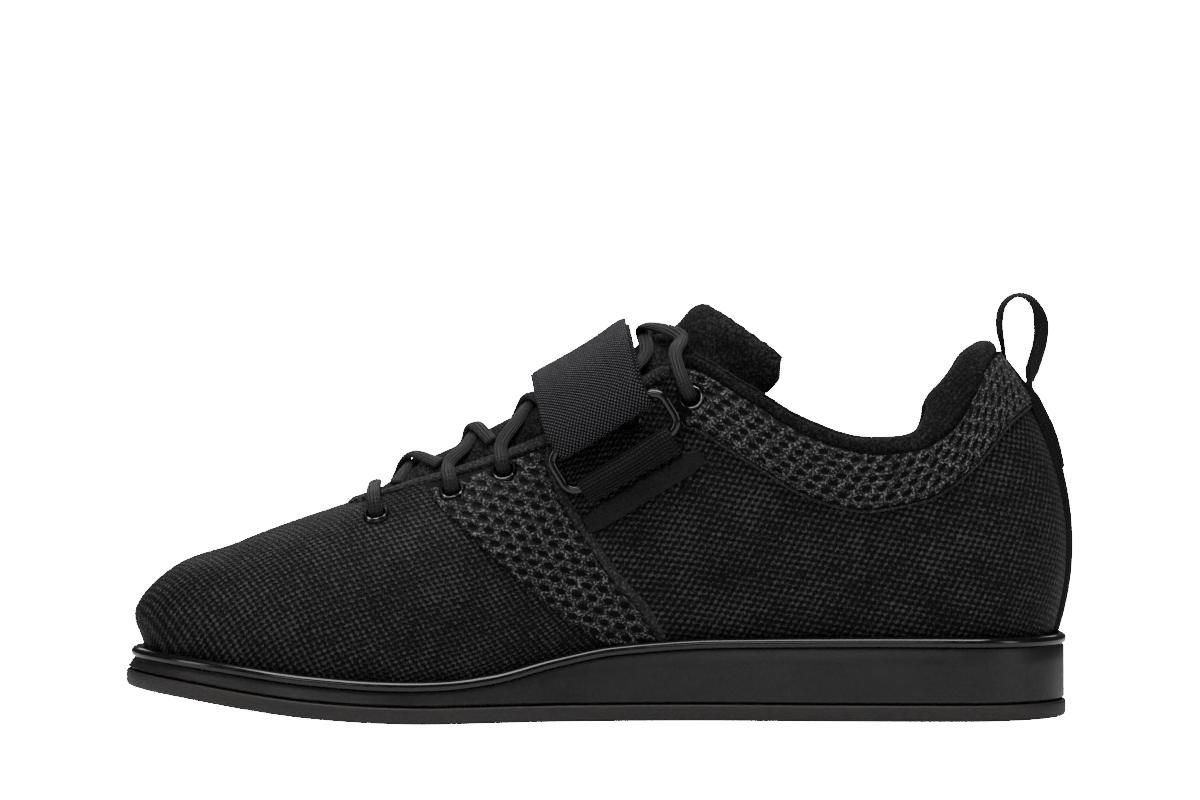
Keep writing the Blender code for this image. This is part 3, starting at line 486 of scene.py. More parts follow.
# Welt: a glossy black rim bead moulded round the top of the sole. It hides the join and draws one long
# highlight. Inside it lies the loose insole, a black textile over foam.
gloss, tree, shader = paint(
    "glossy rim", (0.008, 0.0075, 0.008), 0.2, Specular_IOR_Level=0.5, Coat_Weight=0.25, Coat_Roughness=0.08
)
dust = noise(tree, coordinates(tree), 0.004, 4.0)
dulled(tree, shader, dust, 0.3, 0.75, 0.13, 0.26)
emboss(tree, shader, noise(tree, coordinates(tree), 0.006), 0.00006)
rim_top = rim_top_at(round_along)
BEAD_STEPS = 9
WELT_TUCK = 0.0006
bead = []
for step in range(BEAD_STEPS):
    angle = -0.5 * math.pi + math.pi * step / (BEAD_STEPS - 1)
    out_by = RIM_HEIGHT * 0.20 * math.cos(angle)
    high = seat + GAP + (RIM_HEIGHT - GAP) * (0.5 + 0.5 * math.sin(angle))
    lean = RIM_HEIGHT * 0.30 * max(0.0, math.sin(angle)) ** 2
    bead.append(level(draft - out_by + lean, high))
inner_low = level(RIM_LEDGE + draft - WELT_TUCK, seat + GAP)
inner_high = level(RIM_LEDGE + draft * 0.9 - WELT_TUCK, rim_top - 0.0004)
welt_grid = np.stack([inner_low, *bead, inner_high], axis=1)
welt = place_piece("rim_welt", woven("rim_welt", welt_grid, closed=True), gloss, 60)
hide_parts("welt")

footbed, tree, shader = paint("footbed cloth", (0.008, 0.0075, 0.008), 0.9, Sheen_Weight=0.1)
weft = tree.nodes.new("ShaderNodeTexWave")
weft.inputs["Scale"].default_value = 600
tree.links.new(coordinates(tree, turn=math.radians(35)), weft.inputs["Vector"])
emboss(tree, shader, weft.outputs["Fac"], 0.0001)
footbed_inset = RIM_LEDGE + draft + WALL + CLEAR
footbed_levels = [
    level(footbed_inset, seat + GAP),
    level(footbed_inset, seat + INSOLE_THICK * 0.7),
    level(footbed_inset + INSOLE_THICK * 0.12, seat + INSOLE_THICK * 0.93),
    level(footbed_inset + INSOLE_THICK * 0.35, seat + INSOLE_THICK),
]
slab("footbed", footbed_levels, footbed, "insole")


# Upper: a sock of black knitted mesh, closer and finer over the toe, coarser behind. An open mesh, made
# lighter by painted glints on its yarn, lies in a slanting band on each side and round the collar, and a seam
# with a raised edge bounds each panel.
INSTEP_HEIGHT = 0.112
HEEL_HEIGHT = 0.1125
COLLAR_WIDTH = 0.065
HEEL_BELLY = 0.0128
OVERLAY_STEP = 0.0006

# Top edge of the upper from the heel's back (0) round to the throat's base (1), one row a section. along is
# a share of SOLE_LENGTH from the heel, out of COLLAR_WIDTH, up of INSTEP_HEIGHT. belly is how far the wall
# swells, as a share of HEEL_BELLY. square and ramp shape the wall: square 1 and ramp 1 is a straight wall,
# square 2 and ramp 0 a round one. drop is how far the outer side lies lower, of INSTEP_HEIGHT. band is the
# depth of the collar panel and eyestay, of INSTEP_HEIGHT. At the heel, up and drop are of HEEL_HEIGHT.
UPPER_EDGE = table(
    "around along out up belly square ramp drop band",
    (0.00, 0.080, 0.000, 1.005, 1.00, 1.0, 1.0, 0.00, 0.19),
    (0.05, 0.083, 0.130, 1.000, 0.95, 1.0, 1.0, 0.00, 0.19),
    (0.10, 0.093, 0.250, 0.975, 0.80, 1.0, 1.0, 0.01, 0.19),
    (0.15, 0.106, 0.345, 0.900, 0.62, 1.0, 1.0, 0.02, 0.18),
    (0.20, 0.127, 0.410, 0.815, 0.50, 1.0, 1.0, 0.03, 0.17),
    (0.25, 0.164, 0.455, 0.762, 0.40, 1.0, 1.0, 0.04, 0.17),
    (0.30, 0.212, 0.485, 0.753, 0.33, 1.0, 1.0, 0.04, 0.18),
    (0.35, 0.275, 0.480, 0.800, 0.35, 1.0, 1.0, 0.04, 0.19),
    (0.40, 0.345, 0.445, 0.905, 0.50, 1.1, 1.0, 0.03, 0.19),
    (0.44, 0.405, 0.385, 0.985, 0.55, 1.2, 0.9, 0.01, 0.19),
    (0.47, 0.432, 0.335, 0.960, 0.50, 1.3, 0.8, 0.00, 0.030),
    (0.52, 0.495, 0.290, 0.850, 0.40, 1.5, 0.7, 0.00, 0.022),
    (0.59, 0.560, 0.255, 0.765, 0.28, 1.8, 0.6, 0.00, 0.022),
    (0.67, 0.630, 0.225, 0.695, 0.24, 2.1, 0.55, 0.00, 0.022),
    (0.77, 0.698, 0.190, 0.640, 0.28, 2.5, 0.5, 0.00, 0.022),
    (0.87, 0.738, 0.125, 0.603, 0.38, 2.8, 0.5, 0.00, 0.022),
    (0.94, 0.752, 0.060, 0.592, 0.44, 3.0, 0.5, 0.00, 0.022),
    (1.00, 0.756, 0.000, 0.590, 0.45, 3.0, 0.5, 0.00, 0.022),
)
FINE = np.linspace(0, 1, 121)


def foot_loop():
    """Where the upper's outer face stands on the sole, with its outward directions."""
    along = share_along(turns()[0])
    draft = RIM_LEDGE * smooth(SOLE_SIDE, "draft", along)
    edge, outward = plan_loop(RIM_LEDGE + draft)
    return np.column_stack([edge[:, 0], edge[:, 1] - MIDDLE_Y, seat_at(along) + GAP]), outward


def middle_y(along):
    """The foot's middle above the sole, which bends less than the sole's own middle."""
    return BALL_WIDTH * smooth(SOLE_PLAN, "centre", along) * 0.6 - MIDDLE_Y


def edge_point(around, side):
    """The upper's top edge."""
    along = smooth(UPPER_EDGE, "along", around, "around")
    out = COLLAR_WIDTH * smooth(UPPER_EDGE, "out", around, "around")
    up = smooth(UPPER_EDGE, "up", around, "around")
    up = up - np.where(side > 0, smooth(UPPER_EDGE, "drop", around, "around"), 0)
    of_heel = np.clip((0.45 - around) / 0.25, 0, 1)
    tall = INSTEP_HEIGHT + (HEEL_HEIGHT - INSTEP_HEIGHT) * of_heel
    return np.stack([HEEL_X - along * SOLE_LENGTH, middle_y(along) + side * out, up * tall], axis=-1)


def walls():
    """The upper's outer face: a wall for each section, as a fine row of points from foot to top edge."""
    around, side = turns()
    foot, outward = foot_loop()
    top = edge_point(around, side)
    square = smooth(UPPER_EDGE, "square", around, "around")[:, None]
    ramp = smooth(UPPER_EDGE, "ramp", around, "around")[:, None]
    belly = HEEL_BELLY * smooth(UPPER_EDGE, "belly", around, "around")[:, None]
    angle = FINE[None, :] * math.pi / 2
    across = 1 - np.cos(angle).clip(0) ** (2 / square)
    rise = (1 - ramp) * np.sin(angle) ** (2 / square) + ramp * across
    swell = belly * 4 * rise * (1 - rise)
    reach = (top - foot)[:, None]
    plan = foot[:, None, :2] + reach[..., :2] * across[..., None] + outward[:, None] * swell[..., None]
    high = foot[:, None, 2] + reach[..., 2] * rise
    return np.concatenate([plan, high[..., None]], axis=-1)


def along_wall(wall, depth):
    """Points of one wall at distances down from its top edge."""
    reach = metres_along(wall)
    at = reach[-1] - np.asarray(depth)
    return np.stack([np.interp(at, reach, wall[:, k]) for k in range(3)], axis=-1)


def wall_length(wall):
    return np.linalg.norm(np.diff(wall, axis=0), axis=1).sum()


def facing(grid):
    """Outward directions of a grid that runs round the shoe and up it."""
    round_way = np.roll(grid, -1, axis=0) - np.roll(grid, 1, axis=0)
    up_way = np.gradient(grid, axis=1)
    return unit(np.cross(up_way, round_way))


BODY_ROWS = 64
BAND_ROWS = 14
INNER_ROWS = 18
band_deep = INSTEP_HEIGHT * smooth(UPPER_EDGE, "band", turns()[0], "around")
WALLS = walls()
depths = []
for wall, deep in zip(WALLS, band_deep):
    body = np.linspace(wall_length(wall), deep + OVERLAY_STEP, BODY_ROWS)
    depths.append(np.concatenate([body, np.linspace(deep, 0, BAND_ROWS)]))
DEPTHS = np.array(depths)
SKIN = np.array([along_wall(wall, depth) for wall, depth in zip(WALLS, DEPTHS)])
SKIN_OUT = facing(SKIN)

# Soft troughs (below 0) and swells in the knit, as the side view shows them: along and up place the middle,
# lean is its slope in degrees, long and wide are its reach and deep its depth, all three in metres.
CREASES = table(
    "along up lean long wide deep",
    (0.705, 0.40, 62, 0.016, 0.0045, -0.0007),
    (0.735, 0.33, 66, 0.014, 0.0040, 0.0005),
    (0.765, 0.40, 58, 0.013, 0.0050, -0.0005),
    (0.600, 0.30, 35, 0.018, 0.0060, -0.0006),
    (0.520, 0.52, 20, 0.016, 0.0050, -0.0007),
    (0.430, 0.62, -30, 0.020, 0.0055, -0.0009),
    (0.380, 0.50, -24, 0.022, 0.0060, 0.0006),
    (0.330, 0.62, -18, 0.018, 0.0060, -0.0006),
    (0.200, 0.45, 12, 0.020, 0.0080, -0.0008),
    (0.130, 0.60, 24, 0.016, 0.0060, 0.0006),
    (0.900, 0.28, 30, 0.014, 0.0070, -0.0005),
)


def crease_at(places):
    """How far the knit swells or sinks at each place."""
    total = np.zeros(places.shape[:-1])
    for along, up, lean, long, wide, deep in zip(*CREASES.values()):
        x = places[..., 0] - (HEEL_X - along * SOLE_LENGTH)
        z = places[..., 2] - up * INSTEP_HEIGHT
        turn = math.radians(lean)
        far = (x * math.cos(turn) + z * math.sin(turn)) / long
        aside = (z * math.cos(turn) - x * math.sin(turn)) / wide
        total += deep * np.exp(-(far**2) - aside**2)
    return total


SEAM_ROUND = 0.0012
raised = OVERLAY_STEP * np.clip((band_deep[:, None] - DEPTHS) / SEAM_ROUND + 0.5, 0, 1)
# The toe cap stands a little fuller than its plain shell, ahead of TOE_FROM and above TOE_LOW.
TOE_FULL = 0.0026
TOE_FROM = -0.111
TOE_LOW = 0.024
toe_share = ((TOE_FROM - SKIN[..., 0]) / 0.018).clip(0, 1) * ((SKIN[..., 2] - TOE_LOW) / 0.009).clip(0, 1)
fullness = TOE_FULL * toe_share * toe_share * (3 - 2 * toe_share) * (1 - SKIN_OUT[..., 1] ** 2)
FACE = SKIN + SKIN_OUT * (raised + fullness + crease_at(SKIN))[..., None]


SIDE_FINDERS = {}
for side, sections in ((MEDIAL, range(HALF + 1)), (LATERAL, range(HALF, AROUND + 1))):
    finder = KDTree((HALF + 1) * FACE.shape[1])
    for section in sections:
        for row in range(FACE.shape[1]):
            place = FACE[section % AROUND, row]
            finder.insert((place[0], 0, place[2]), section % AROUND * FACE.shape[1] + row)
    finder.balance()
    SIDE_FINDERS[side] = finder
FACE_ROUND = (np.roll(FACE, -1, axis=0) - np.roll(FACE, 1, axis=0)) / 2
FACE_UP = np.gradient(FACE, axis=1)
OUT_ROUND = (np.roll(SKIN_OUT, -1, axis=0) - np.roll(SKIN_OUT, 1, axis=0)) / 2
OUT_UP = np.gradient(SKIN_OUT, axis=1)


def on_skin(side, along, up):
    """Places and outward directions on the upper's outer face, for shares seen from one side."""
    seen = np.stack(
        np.broadcast_arrays(HEEL_X - np.asarray(along) * SOLE_LENGTH, np.asarray(up) * INSTEP_HEIGHT), -1
    )
    wanted = seen.reshape(-1, 2)
    nearest = np.array([SIDE_FINDERS[side].find((x, 0, z))[1] for x, z in wanted])
    i, j = nearest // FACE.shape[1], nearest % FACE.shape[1]
    off = wanted - FACE[i, j][:, [0, 2]]
    a, b = FACE_ROUND[i, j][:, [0, 2]], FACE_UP[i, j][:, [0, 2]]
    area = a[:, 0] * b[:, 1] - a[:, 1] * b[:, 0]
    area = np.where(np.abs(area) < 1e-9, 1e-9, area)
    one = ((off[:, 0] * b[:, 1] - off[:, 1] * b[:, 0]) / area).clip(-1, 1)[:, None]
    two = ((a[:, 0] * off[:, 1] - a[:, 1] * off[:, 0]) / area).clip(-1, 1)[:, None]
    place = FACE[i, j] + one * FACE_ROUND[i, j] + two * FACE_UP[i, j]
    out = unit(SKIN_OUT[i, j] + one * OUT_ROUND[i, j] + two * OUT_UP[i, j])
    return place.reshape(*seen.shape[:-1], 3), out.reshape(*seen.shape[:-1], 3)


def read_down(values, section, depth):
    """Values of one section at distances down from its top edge."""
    depths = DEPTHS[section, ::-1]
    return np.stack([np.interp(depth, depths, values[section, ::-1, k]) for k in range(3)], axis=-1)


def skin_at(section, depth):
    """Places on the upper's face and their outward directions, at distances down one section."""
    return read_down(SKIN, section, depth), unit(read_down(SKIN_OUT, section, depth))


# The band of open mesh on each side, from its top down: where its front and rear seams show, as shares of
# SOLE_LENGTH, against shares of INSTEP_HEIGHT.
SIDE_BAND = table(
    "up front rear",
    (0.10, 0.440, 0.425),
    (0.22, 0.497, 0.437),
    (0.30, 0.545, 0.454),
    (0.40, 0.590, 0.488),
    (0.50, 0.633, 0.514),
    (0.60, 0.674, 0.539),
    (0.72, 0.712, 0.556),
    (0.95, 0.760, 0.570),
)


def side_band(places):
    """How far each place lies behind the band's front seam and ahead of its rear one."""
    up = places[..., 2] / INSTEP_HEIGHT
    along = (HEEL_X - places[..., 0]) / SOLE_LENGTH
    front = smooth(SIDE_BAND, "front", up, "up")
    rear = smooth(SIDE_BAND, "rear", up, "up")
    return (front - along) * SOLE_LENGTH, (along - rear) * SOLE_LENGTH


# Flat cloth coordinates. Behind, the cloth wraps round the heel: metres round the shoe at mid height, and
# metres up the wall. Over the toe it drapes from the middle: metres along its crest, and down its side.
mid_loop = np.array([along_wall(wall, wall_length(wall) * 0.55) for wall in WALLS])
mid_steps = np.linalg.norm(np.roll(mid_loop, -1, axis=0) - mid_loop, axis=1)
ROUND_METRES = np.concatenate([[0], np.cumsum(mid_steps)])
UP_METRES = DEPTHS[:, :1] - DEPTHS
crest = np.vstack([WALLS[HALF], SKIN[HALF // 2 : HALF, -1][::-1] * np.array([1, 0, 1])])
crest_metres = metres_along(crest)
crest_x = np.maximum.accumulate(crest[:, 0])
drape_along = np.interp(SKIN[..., 0], crest_x, crest_metres)
crest_high = np.interp(SKIN[..., 0], crest_x, crest[:, 2])
aside = np.abs(SKIN[..., 1])
drop = np.maximum(crest_high - SKIN[..., 2], 0)
chord_angle = np.arctan2(drop, aside + 1e-6)
drape_down = np.hypot(drop, aside) * chord_angle / np.maximum(np.sin(chord_angle), 1e-6)
drape_down = np.where(chord_angle < 1e-3, np.hypot(drop, aside), drape_down)


def add_values(mesh, name, values):
    """A named number at each corner point of a mesh, for its material to read."""
    layer = mesh.attributes.new(name, "FLOAT", "POINT")
    layer.data.foreach_set("value", np.asarray(values, np.float32).ravel())


inner_depths = np.array([np.linspace(0, row[0], INNER_ROWS) for row in DEPTHS])
inner = []
for section, deep in enumerate(inner_depths):
    inner.append(read_down(SKIN, section, deep) - read_down(SKIN_OUT, section, deep) * WALL)
sections = np.concatenate([FACE, np.array(inner)], axis=1)
body_cloth = np.zeros((AROUND + 1, sections.shape[1] + 1, 2))
body_cloth[..., 0] = ROUND_METRES[:, None]
rows_out = FACE.shape[1]
body_cloth[:AROUND, :rows_out, 1] = UP_METRES
body_cloth[AROUND, :rows_out, 1] = UP_METRES[0]
body_cloth[:AROUND, rows_out:-1, 1] = inner_depths[..., :]
body_cloth[AROUND, rows_out:-1, 1] = inner_depths[0]
upper_mesh = woven("knit_upper", sections, closed=True, cloth=body_cloth)


def whole(values, inside):
    """Values of the outer face, with one number for the whole inner face."""
    return np.concatenate([values, np.full((AROUND, INNER_ROWS), inside)], axis=1)


front_seam, rear_seam = side_band(SKIN)
to_collar = np.where((turns()[0] < 0.455)[:, None], band_deep[:, None] - DEPTHS, -1.0)
add_values(upper_mesh, "front_seam", whole(front_seam, -1.0))
add_values(upper_mesh, "rear_seam", whole(rear_seam, -1.0))
add_values(upper_mesh, "collar_seam", whole(to_collar, -1.0))
add_values(upper_mesh, "edge_deep", whole(DEPTHS, 1.0))
add_values(upper_mesh, "drape_along", whole(drape_along, 0.0))
add_values(upper_mesh, "drape_down", whole(drape_down, 0.0))


def read_value(tree, name):
    made = tree.nodes.new("ShaderNodeAttribute")
    made.attribute_name = name
    return made.outputs["Fac"]


def lattice(tree, across, along, pitch_across, pitch_along):
    """Staggered lobes: 1 in the middle of each mesh opening, falling to -1 between them."""
    waves = []
    for value, pitch in ((across, pitch_across), (along, pitch_along)):
        waves.append(calc(tree, "COSINE", calc(tree, "MULTIPLY", value, 2 * math.pi / pitch)))
    return calc(tree, "MULTIPLY", *waves)


def turned_pair(tree, first, second, angle):
    """Two flat coordinates turned by an angle."""
    c, s = math.cos(angle), math.sin(angle)
    one = calc(tree, "ADD", calc(tree, "MULTIPLY", first, c), calc(tree, "MULTIPLY", second, s))
    other = calc(tree, "SUBTRACT", calc(tree, "MULTIPLY", second, c), calc(tree, "MULTIPLY", first, s))
    return one, other


TOE_PITCH = (0.0031, 0.0021)
TOE_LEAN = math.radians(28)
BODY_PITCH = (0.0033, 0.0023)
BODY_LEAN = math.radians(-24)
# Knit colours: black yarn, a painted highlight grey for its lit crests and fuzz, and near-black for the
# openings, the black ground seen through them darkened further as painted shade.
YARN_BLACK = (0.0030, 0.0026, 0.0029)
SHADED_HOLE_BLACK = (0.0004, 0.0004, 0.0004)
YARN_HIGHLIGHT = (0.085, 0.079, 0.086)

knit, tree, shader = paint("black knit", YARN_BLACK, 0.6, Sheen_Weight=0.03, Sheen_Roughness=0.5)
shader.inputs["Specular IOR Level"].default_value = 0.14
toe_across, toe_along = turned_pair(
    tree, read_value(tree, "drape_along"), read_value(tree, "drape_down"), TOE_LEAN
)
toe_lobes = lattice(tree, toe_across, toe_along, *TOE_PITCH)
flat = tree.nodes.new("ShaderNodeSeparateXYZ")
tree.links.new(coordinates(tree, cloth="cloth"), flat.inputs[0])
body_across, body_along = turned_pair(tree, flat.outputs[0], flat.outputs[1], BODY_LEAN)
body_lobes = lattice(tree, body_across, body_along, *BODY_PITCH)
in_toe = ease(tree, read_value(tree, "front_seam"), -0.0002, 0.0002, 1.0, 0.0)
lobes = calc(
    tree,
    "ADD",
    calc(tree, "MULTIPLY", toe_lobes, in_toe),
    calc(tree, "MULTIPLY", body_lobes, calc(tree, "SUBTRACT", 1.0, in_toe)),
)
band_in = ease(
    tree,
    calc(tree, "MINIMUM", read_value(tree, "front_seam"), read_value(tree, "rear_seam")),
    -0.0002,
    0.0002,
)
collar_in = ease(tree, read_value(tree, "collar_seam"), -0.0002, 0.0002)
edge_in = ease(tree, read_value(tree, "edge_deep"), 0.0022, 0.0028, 1.0, 0.0)
plain = calc(tree, "MAXIMUM", calc(tree, "MAXIMUM", band_in, collar_in), edge_in)
fuzz = noise(tree, coordinates(tree), 0.0007, 4.0)
cloud = noise(tree, coordinates(tree), 0.012)
rough_lobes = calc(tree, "ADD", lobes, calc(tree, "MULTIPLY", calc(tree, "SUBTRACT", fuzz, 0.5), 1.3))
open_share = ease(tree, rough_lobes, 0.05, 0.6)
open_share = calc(tree, "MULTIPLY", open_share, calc(tree, "SUBTRACT", 1.0, plain))
# Painted highlight: the yarn's crests between the openings, its fuzz specks and faint clouds are coloured
# lighter, as where light catches them.
crest = calc(tree, "MULTIPLY", calc(tree, "SUBTRACT", 0.3, lobes), 0.14)
lit = calc(tree, "ADD", calc(tree, "ADD", fuzz, crest), calc(tree, "MULTIPLY", cloud, 0.25))
yarn = blend_colour(tree, ease(tree, lit, 0.58, 0.98), YARN_BLACK, YARN_HIGHLIGHT)
# Painted shade: the openings are coloured near-black, the black ground seen through them darkened further.
knit_with_shaded_holes = blend_colour(tree, open_share, yarn, SHADED_HOLE_BLACK)
# Painted shade under the open mesh: inside the side bands and the collar panel the ground is darkened most of
# the way to the near-black hole colour.
net_shade_in = ease(
    tree,
    calc(tree, "MINIMUM", read_value(tree, "front_seam"), read_value(tree, "rear_seam")),
    0.0008,
    0.0018,
)
shade_under_net = calc(tree, "MAXIMUM", net_shade_in, collar_in)
coloured(tree, shader, calc(tree, "MULTIPLY", shade_under_net, 0.8), knit_with_shaded_holes, SHADED_HOLE_BLACK)
relief = calc(tree, "SUBTRACT", calc(tree, "MULTIPLY", fuzz, 0.35), calc(tree, "MULTIPLY", open_share, 0.9))
emboss(tree, shader, relief, 0.0010)
upper = place_piece("knit_upper", upper_mesh, knit, 60)


# Eyelets: six pressed metal ones on each side, painted black. Each sits in a punched hole, and the crest of
# its flange is worn to bright metal. The two inner eyelets under the strap keep their crest black as painted
# shade.

# Eyelets from the toe end up, where they show from the side.
EYELETS = table(
    "along up",
    (0.733, 0.560),
    (0.653, 0.622),
    (0.598, 0.675),
    (0.532, 0.742),
    (0.465, 0.812),
    (0.400, 0.880),
)
EYELET_RADIUS = 0.0041
EYELET_HOLE = 0.0024
EYELET_PROUD = 0.0011
EYELET_STEPS = 40
EYELET_SECTION = table(
    "radius height",
    (0.0024, -0.0030),
    (0.0024, -0.0004),
    (0.0029, 0.0006),
    (0.0031, 0.0011),
    (0.0033, 0.00125),
    (0.0035, 0.0011),
    (0.0036, 0.0008),
    (0.0039, 0.0007),
    (0.0041, 0.0003),
    (0.0040, -0.0004),
    (0.0030, -0.0004),
    (0.0030, -0.0030),
)
BRIGHT_FACES = (3, 4)
# The inner eyelets in the strap's shade, whose bright crest is left out as painted shade.
SHADED_UNDER_STRAP = ("eyelet_in_4", "eyelet_in_5")


def eyelet_places():
    for side, word in ((MEDIAL, "in"), (LATERAL, "out")):
        for number, (along, up) in enumerate(zip(EYELETS["along"], EYELETS["up"]), 1):
            place, out = on_skin(side, along, up)
            yield f"eyelet_{word}_{number}", place, out


eyelet_black, tree, shader = paint(
    "eyelet black", (0.010, 0.010, 0.011), 0.28, Metallic=0.6, Coat_Weight=0.4
)
eyelet_bright, tree, shader = paint("eyelet bright", (0.62, 0.61, 0.60), 0.22, Metallic=1.0)
emboss(tree, shader, noise(tree, coordinates(tree), 0.0012), 0.00003)
EYELETS_MADE = list(eyelet_places())
holes = bmesh.new()
for name, place, out in EYELETS_MADE:
    turn = Vector(out).to_track_quat("Z", "Y").to_matrix().to_4x4()
    turn.translation = Vector(place)
    rings = []
    for angle in np.arange(EYELET_STEPS) * 2 * math.pi / EYELET_STEPS:
        spoke = Vector((math.cos(angle), math.sin(angle), 0))
        section = zip(EYELET_SECTION["radius"], EYELET_SECTION["height"])
        rings.append([turn @ (spoke * radius + Vector((0, 0, height))) for radius, height in section])
    mesh = woven(name, rings, closed=True)
    eyelet = place_piece(f"pressed_{name}", mesh, eyelet_black, 60)
    mesh.materials.append(eyelet_bright)
    # Painted shade: the two inner eyelets under the strap keep their flange crest black.
    for face in mesh.polygons if name not in SHADED_UNDER_STRAP else ():
        if face.index % len(EYELET_SECTION["radius"]) in BRIGHT_FACES:
            face.material_index = 1
    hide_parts(name)
    radius = EYELET_HOLE + 0.0008
    bmesh.ops.create_cone(
        holes, cap_ends=True, segments=24, radius1=radius, radius2=radius, depth=0.012, matrix=turn
    )
hole_mesh = bpy.data.meshes.new("holes")
holes.to_mesh(hole_mesh)
holes.free()
punch = bpy.data.objects.new("holes", hole_mesh)
bpy.context.scene.collection.objects.link(punch)
cut = upper.modifiers.new("holes", "BOOLEAN")
cut.operation = "DIFFERENCE"
cut.object = punch
upper.data = bpy.data.meshes.new_from_object(upper.evaluated_get(bpy.context.evaluated_depsgraph_get()))
upper.modifiers.clear()
bpy.data.objects.remove(punch)


# Open mesh: a coarse knit with oval openings over a black ground, made lighter by painted glints on its
# yarn and cut to the slanting band on each side and to the collar panel. Each patch is a fine sheet whose
# openings sink to the ground below, where they are coloured near-black as painted shade.
SIDE_MESH = {
    "pitch": (0.0050, 0.0066),
    "lean": math.radians(-12),
    "oval": (0.00165, 0.00100),
    "tilt": math.radians(-4),
}
COLLAR_MESH = {
    "pitch": (0.0047, 0.0058), "lean": math.radians(4), "oval": (0.00160, 0.00092), "tilt": math.radians(24)
}
NET_RISE = 0.00085
NET_GRAIN = 0.00045
SEAM_CLEAR = 0.0007
FLANGE_OVER = 0.0003


def openings_at(across, upward, pitch, lean, oval, tilt):
    """How open the net is at flat coordinates: 1 in the middle of an oval opening and 0 on the yarn."""
    one = (across * math.cos(lean) + upward * math.sin(lean)) / pitch[0]
    other = (upward * math.cos(lean) - across * math.sin(lean)) / pitch[1]
    nearest = np.full(np.shape(one), 9.0)
    for shift in (0, 0.5):
        off_one = (one - shift - np.round(one - shift)) * pitch[0]
        off_other = (other - shift - np.round(other - shift)) * pitch[1]
        long = (off_one * math.cos(tilt) + off_other * math.sin(tilt)) / oval[0]
        short = (off_other * math.cos(tilt) - off_one * math.sin(tilt)) / oval[1]
        nearest = np.minimum(nearest, np.hypot(long, short))
    share = np.clip((1.22 - nearest) / 0.45, 0, 1)
    return share * share * (3 - 2 * share)


def patch(name, places, outs, opening, inside, material):
    """A sheet of open mesh on a grid of places, kept only where it lies inside its seams."""
    rise = GAP + NET_RISE * (1 - opening) * np.clip(inside / SEAM_CLEAR, 0.15, 1)
    mesh = woven(name, places + outs * rise[..., None], tube=False)
    add_values(mesh, "opening", opening)
    keep = bmesh.new()
    keep.from_mesh(mesh)
    flat = inside.ravel()
    keep.verts.ensure_lookup_table()
    lost = [vert for vert in keep.verts if flat[vert.index] <= 0]
    bmesh.ops.delete(keep, geom=lost, context="VERTS")
    outward = sum(face.normal.y * face.calc_center_median().y for face in keep.faces)
    if outward < 0:
        bmesh.ops.reverse_faces(keep, faces=keep.faces[:])
    keep.to_mesh(mesh)
    keep.free()
    piece = place_piece(name, mesh, material, 180)
    return piece


net_yarn, tree, shader = paint(
    "open mesh yarn", (0.02, 0.02, 0.022), 0.65, Sheen_Weight=0.05, Sheen_Roughness=0.45
)
shader.inputs["Specular IOR Level"].default_value = 0.25
# Painted glints: light specks on the yarn's fuzz. Where the sheet sinks into its openings it is coloured
# near-black as painted shade.
fuzz = noise(tree, coordinates(tree), 0.00065, 4.0)
yarn_glints = blend_colour(tree, ease(tree, fuzz, 0.47, 0.72), (0.0045, 0.0042, 0.0045), (0.27, 0.26, 0.28))
opening_in = ease(tree, read_value(tree, "opening"), 0.1, 0.75)
coloured(tree, shader, opening_in, yarn_glints, SHADED_HOLE_BLACK)
emboss(tree, shader, fuzz, 0.0006)


def clear_of_eyelets(inside, places):
    """How far inside its seams each place lies, or from the nearest eyelet where that is less."""
    for _, middle, _ in EYELETS_MADE:
        inside = np.minimum(inside, np.linalg.norm(places - middle, axis=-1) - EYELET_RADIUS + FLANGE_OVER)
    return inside


for side, word in ((MEDIAL, "inner"), (LATERAL, "outer")):
    band_along = np.arange(0.42, 0.77, NET_GRAIN / SOLE_LENGTH)
    band_up = np.arange(0.16, 0.80, NET_GRAIN / INSTEP_HEIGHT)
    along_grid, up_grid = np.meshgrid(band_along, band_up, indexing="ij")
    places, outs = on_skin(side, along_grid, up_grid)
    front, rear = side_band(places)
    missed = np.hypot(
        places[..., 0] - (HEEL_X - along_grid * SOLE_LENGTH), places[..., 2] - up_grid * INSTEP_HEIGHT
    )
    edge_x = SKIN[HALF // 3 : HALF, -1, 0][::-1]
    edge_z = SKIN[HALF // 3 : HALF, -1, 2][::-1]
    below_edge = np.interp(places[..., 0], edge_x, edge_z) - places[..., 2]
    below_rim = places[..., 2] - np.interp(
        along_grid, round_along[: HALF + 1], rim_top_at(round_along[: HALF + 1])
    )
    inside = np.minimum(np.minimum(front, rear), np.minimum(below_edge - 0.0035, below_rim + 0.0005))
    inside = clear_of_eyelets(inside, places)
    inside = np.where(missed > 0.001, -1.0, inside)
    opening = openings_at(-along_grid * SOLE_LENGTH, up_grid * INSTEP_HEIGHT, **SIDE_MESH)
    patch(f"open_mesh_{word}", places, outs, opening, inside, net_yarn)

# The lining's knit is rolled out over the collar's edge: a narrow binding along it, and a thick soft pad on
# each flank of the heel. along is its place, deep how far down the outer face it reaches and rise how far it
# stands beyond the edge, in metres.
COLLAR_TURN = table(
    "along deep rise",
    (0.000, 0.0006, 0.0004),
    (0.064, 0.0010, 0.0008),
    (0.074, 0.0018, 0.0020),
    (0.088, 0.0024, 0.0044),
    (0.097, 0.0030, 0.0062),
    (0.107, 0.0034, 0.0088),
    (0.115, 0.0036, 0.0108),
    (0.124, 0.0036, 0.0102),
    (0.136, 0.0034, 0.0076),
    (0.150, 0.0034, 0.0050),
    (0.172, 0.0031, 0.0028),
    (0.210, 0.0030, 0.0020),
    (0.260, 0.0030, 0.0012),
    (0.600, 0.0030, 0.0009),
)


